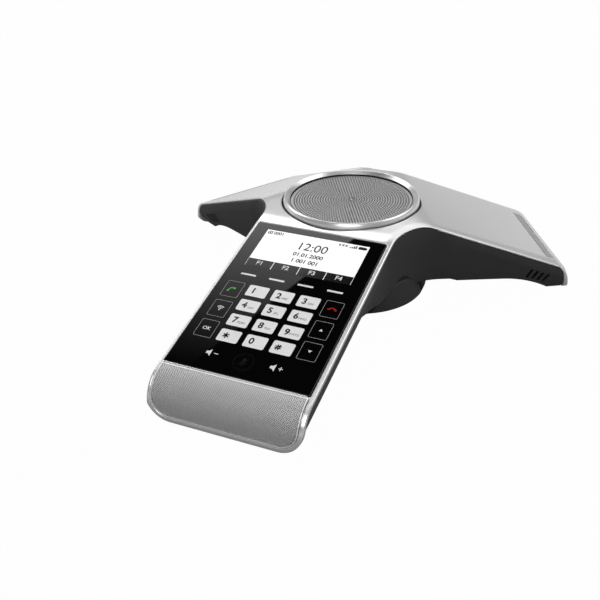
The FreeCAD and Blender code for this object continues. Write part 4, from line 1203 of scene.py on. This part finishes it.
class PHONE_OT_stage(bpy.types.Operator):
    """Set up the floor, the lamps and the camera of the photograph"""
    bl_idname = "phone.stage"
    bl_label = "Stage"

    FLOOR_SIZE = 8
    FLOOR_DROP = 0.2 * MM
    # how light the floor is to the camera, and in mirror images at two distances from the phone, the darker
    # level near it being a painted shadow
    FLOOR_SEEN = 0.985
    FLOOR_NEAR, NEAR_LEVEL = 0.16, 0.12
    FLOOR_FAR, FAR_LEVEL = 0.36, 0.85
    # sine of the height above the horizon, and how light the studio is there
    WALLS = ((0.0, 1.1), (0.08, 0.78), (0.16, 0.44), (0.26, 0.36), (0.45, 0.36), (0.54, 1.3),
             (0.755, 1.3), (0.785, 0.02), (0.91, 0.02), (0.95, 1.2), (1.0, 1.2))
    # daylight from the camera's side, as a share of the daylight from behind the phone, and the
    # Y of the directions between which it grows
    FRONT_SHARE = 0.55
    GROWS_FROM, GROWS_TO = -0.4, 0.3
    # the soft box's corners where the camera sees them on the glass: across and down, in millimetres
    CARD = ((-200, 135), (-33.5, 135), (-200, -200), (105, -200))
    # small soft boxes: directions from the hub, and shares of the strength
    FILLS = (("fill_right", (0.5, 0.4, 0.77), 1.0), ("fill_front", (0.24, -0.8, 0.55), 1.6),
             ("fill_left", (-0.82, 0.12, 0.55), 1.0))
    FILL_DISTANCE = 0.9
    FILL_SIZE = 0.5
    # places and sizes of the lamps, which no surface mirrors
    LAMPS = (("overhead", (0.1, 0.1, 1.3), 1.2), ("side", (0.55, 0.0, 0.55), 0.35))
    SENSOR = 36

    def execute(self, context):
        stage = context.scene.phone_stage
        context.scene.view_settings.view_transform = "Standard"
        self.add_floor()
        self.light_world(context.scene, stage)
        self.add_camera(context.scene, stage)
        self.add_card(context.scene, stage)
        for name, direction, share in self.FILLS:
            self.add_fill(name, direction, share * stage.fill)
        for name, place, size in self.LAMPS:
            self.add_lamp(name, place, size, getattr(stage, name))
        return {"FINISHED"}

    def add_floor(self):
        """White paper that keeps the phone's shadow and is clear from below."""
        start_piece("floor", bpy.ops.mesh.primitive_plane_add, size=self.FLOOR_SIZE,
                    location=(0, 0, -self.FLOOR_DROP))
        bpy.ops.mesh.subdivide(number_cuts=4)
        floor = leave_edit()
        paper = bpy.data.materials.new("white_paper")
        paper.use_nodes = True
        nodes = Nodes(paper.node_tree)
        shader = nodes.tree.nodes["Principled BSDF"]
        shader.inputs["Base Color"].default_value = (0.25, 0.25, 0.25, 1)
        shader.inputs["Roughness"].default_value = 0.9
        glow = nodes.node("ShaderNodeEmission")
        above = nodes.mix(self.floor_glow(nodes), shader.outputs["BSDF"], glow.outputs["Emission"])
        side = nodes.node("ShaderNodeNewGeometry")
        clear = nodes.node("ShaderNodeBsdfTransparent")
        surface = nodes.mix(side.outputs["Backfacing"], above, clear.outputs["BSDF"])
        nodes.wire(surface, nodes.tree.nodes["Material Output"].inputs["Surface"])
        floor.data.materials.append(paper)

    def floor_glow(self, nodes):
        """How much the floor glows: almost white to the camera, and darker near the phone in mirrors, as a
        painted shadow.
        """
        spot = nodes.node("ShaderNodeTexCoord")
        distance = nodes.node("ShaderNodeVectorMath")
        distance.operation = "LENGTH"
        nodes.wire(spot.outputs["Object"], distance.inputs[0])
        # painted shadow: the glow that reflections see falls off towards the phone
        fade = nodes.spread(distance.outputs["Value"], From_Min=self.FLOOR_NEAR, From_Max=self.FLOOR_FAR,
                            To_Min=self.NEAR_LEVEL, To_Max=self.FAR_LEVEL)
        path = nodes.node("ShaderNodeLightPath")
        seen = nodes.node("ShaderNodeMath")
        seen.operation = "MULTIPLY"
        seen.inputs[1].default_value = self.FLOOR_SEEN
        nodes.wire(path.outputs["Is Camera Ray"], seen.inputs[0])
        mirrored = nodes.node("ShaderNodeMath")
        mirrored.operation = "MULTIPLY_ADD"
        nodes.wire(path.outputs["Is Glossy Ray"], mirrored.inputs[0])
        nodes.wire(fade.outputs["Result"], mirrored.inputs[1])
        nodes.wire(seen.outputs[0], mirrored.inputs[2])
        return mirrored.outputs[0]

    def light_world(self, scene, stage):
        """Even light, weaker on the camera's side, with bands of walls and ceiling to mirror."""
        scene.world = bpy.data.worlds.new("studio")
        scene.world.use_nodes = True
        nodes = Nodes(scene.world.node_tree)
        background = nodes.tree.nodes["Background"]
        direction = nodes.node("ShaderNodeTexCoord")
        axes = nodes.node("ShaderNodeSeparateXYZ")
        ramp = nodes.node("ShaderNodeValToRGB")
        nodes.wire(direction.outputs["Generated"], axes.inputs["Vector"])
        nodes.wire(axes.outputs["Z"], ramp.inputs["Fac"])
        nodes.wire(ramp.outputs["Color"], background.inputs["Color"])
        strength = nodes.spread(axes.outputs["Y"], From_Min=self.GROWS_FROM, From_Max=self.GROWS_TO,
                                To_Min=self.FRONT_SHARE * stage.daylight, To_Max=stage.daylight)
        nodes.wire(strength.outputs["Result"], background.inputs["Strength"])
        path = nodes.node("ShaderNodeLightPath")
        white = nodes.node("ShaderNodeBackground", Color=(1, 1, 1, 1))
        seen = nodes.mix(path.outputs["Is Camera Ray"], background.outputs["Background"],
                         white.outputs["Background"])
        nodes.wire(seen, nodes.tree.nodes["World Output"].inputs["Surface"])
        stops = ramp.color_ramp.elements
        for position, level in self.WALLS[1:-1]:
            stops.new(position)
        for stop, (position, level) in zip(stops, self.WALLS):
            stop.position = position
            stop.color = (level, level, level, 1)

    def add_card(self, scene, stage):
        """A soft box whose mirror image lies across the left of the glass and fades downwards."""
        place = panel_frame(scene.phone_sizes.panel_slope)[0]
        eye = place.inverted() @ scene.camera.matrix_world.translation
        grow = (stage.card_height + eye.z) / eye.z
        card = self.plane("soft_box", 1, place @ Matrix.Translation((0, 0, stage.card_height)))
        for vertex, (x, down) in zip(card.data.vertices, self.CARD):
            vertex.co = (eye.x + (x * MM - eye.x) * grow, eye.y - (down * MM + eye.y) * grow, 0)
        rows = [vertex.co.y for vertex in card.data.vertices]
        nodes, glow = self.light_up(card)
        spot = nodes.node("ShaderNodeTexCoord")
        axes = nodes.node("ShaderNodeSeparateXYZ")
        nodes.wire(spot.outputs["Object"], axes.inputs["Vector"])
        fade = nodes.spread(axes.outputs["Y"], From_Min=min(rows), From_Max=max(rows), To_Max=stage.card)
        fade.interpolation_type = "SMOOTHSTEP"
        nodes.wire(fade.outputs["Result"], glow.inputs["Strength"])

    def add_fill(self, name, direction, strength):
        """A small soft box that only the edges and the ring mirror."""
        place = HUB + self.FILL_DISTANCE * Vector(direction).normalized()
        turn = (place - HUB).to_track_quat("Z", "Y").to_matrix().to_4x4()
        box = self.plane(name, self.FILL_SIZE, Matrix.Translation(place) @ turn)
        box.visible_diffuse = False
        glow = self.light_up(box)[1]
        glow.inputs["Strength"].default_value = strength

    def plane(self, name, size, place):
        bpy.ops.object.select_all(action="DESELECT")
        bpy.ops.mesh.primitive_plane_add(size=size)
        plane = bpy.context.object
        plane.name = name
        plane.matrix_world = place
        return plane

    def light_up(self, plane):
        """Gives a plane a glowing finish unseen by the camera; returns its nodes and the glow."""
        plane.visible_camera = False
        material = bpy.data.materials.new(plane.name)
        material.use_nodes = True
        nodes = Nodes(material.node_tree)
        nodes.tree.nodes.remove(nodes.tree.nodes["Principled BSDF"])
        glow = nodes.node("ShaderNodeEmission")
        nodes.wire(glow.outputs["Emission"], nodes.tree.nodes["Material Output"].inputs["Surface"])
        plane.data.materials.append(material)
        return nodes, glow

    def add_lamp(self, name, place, size, watts):
        bpy.ops.object.light_add(type="AREA", location=place)
        lamp = bpy.context.object
        lamp.name = name
        lamp.visible_glossy = False
        lamp.data.shape = "SQUARE"
        lamp.data.size = size
        lamp.data.energy = watts
        lamp.rotation_euler = (HUB - Vector(place)).to_track_quat("-Z", "Y").to_euler()

    def add_camera(self, scene, stage):
        back = Vector((math.sin(stage.azimuth) * math.cos(stage.elevation),
                       -math.cos(stage.azimuth) * math.cos(stage.elevation),
                       math.sin(stage.elevation)))
        right = Vector((math.cos(stage.azimuth), math.sin(stage.azimuth), 0))
        up = back.cross(right)
        aim = Vector((HUB.x, HUB.y, stage.aim))
        turn = Matrix((right, up, back)).transposed().to_4x4()
        bpy.ops.object.camera_add()
        camera = bpy.context.object
        camera.name = "photograph"
        camera.matrix_world = (Matrix.Translation(aim + stage.distance * back) @ turn
                               @ Matrix.Rotation(stage.roll, 4, "Z"))
        camera.data.sensor_width = self.SENSOR
        camera.data.lens = stage.focal
        camera.data.shift_x = stage.shift_x
        camera.data.shift_y = stage.shift_y
        camera.data.clip_start = 0.01
        scene.camera = camera


class PHONE_PT_build(bpy.types.Panel):
    """The pieces, in the order in which they are made"""
    bl_label = "Conference phone"
    bl_space_type = "VIEW_3D"
    bl_region_type = "UI"
    bl_category = "Phone"

    def draw(self, context):
        for operator in OPERATORS:
            self.layout.operator(operator.bl_idname)


OPERATORS = (PHONE_OT_finishes, PHONE_OT_shells, PHONE_OT_pedestal, PHONE_OT_speaker_ring,
             PHONE_OT_speaker_grille, PHONE_OT_front_mesh, PHONE_OT_panel_glass, PHONE_OT_display,
             PHONE_OT_keypad, PHONE_OT_touch_keys, PHONE_OT_stage)
CLASSES = (PhoneSizes, PhoneColours, PhoneStage, *OPERATORS, PHONE_PT_build)


def register():
    for each in CLASSES:
        bpy.utils.register_class(each)
    bpy.types.Scene.phone_sizes = PointerProperty(type=PhoneSizes)
    bpy.types.Scene.phone_colours = PointerProperty(type=PhoneColours)
    bpy.types.Scene.phone_stage = PointerProperty(type=PhoneStage)


def unregister():
    del bpy.types.Scene.phone_stage
    del bpy.types.Scene.phone_colours
    del bpy.types.Scene.phone_sizes
    for each in reversed(CLASSES):
        bpy.utils.unregister_class(each)


def main():
    register()
    bpy.ops.phone.finishes()
    bpy.ops.phone.shells()
    bpy.ops.phone.pedestal()
    bpy.ops.phone.speaker_ring()
    bpy.ops.phone.speaker_grille()
    bpy.ops.phone.front_mesh()
    bpy.ops.phone.panel_glass()
    bpy.ops.phone.display()
    bpy.ops.phone.keypad()
    bpy.ops.phone.touch_keys()
    bpy.ops.phone.stage()


if __name__ == "__main__":
    main()
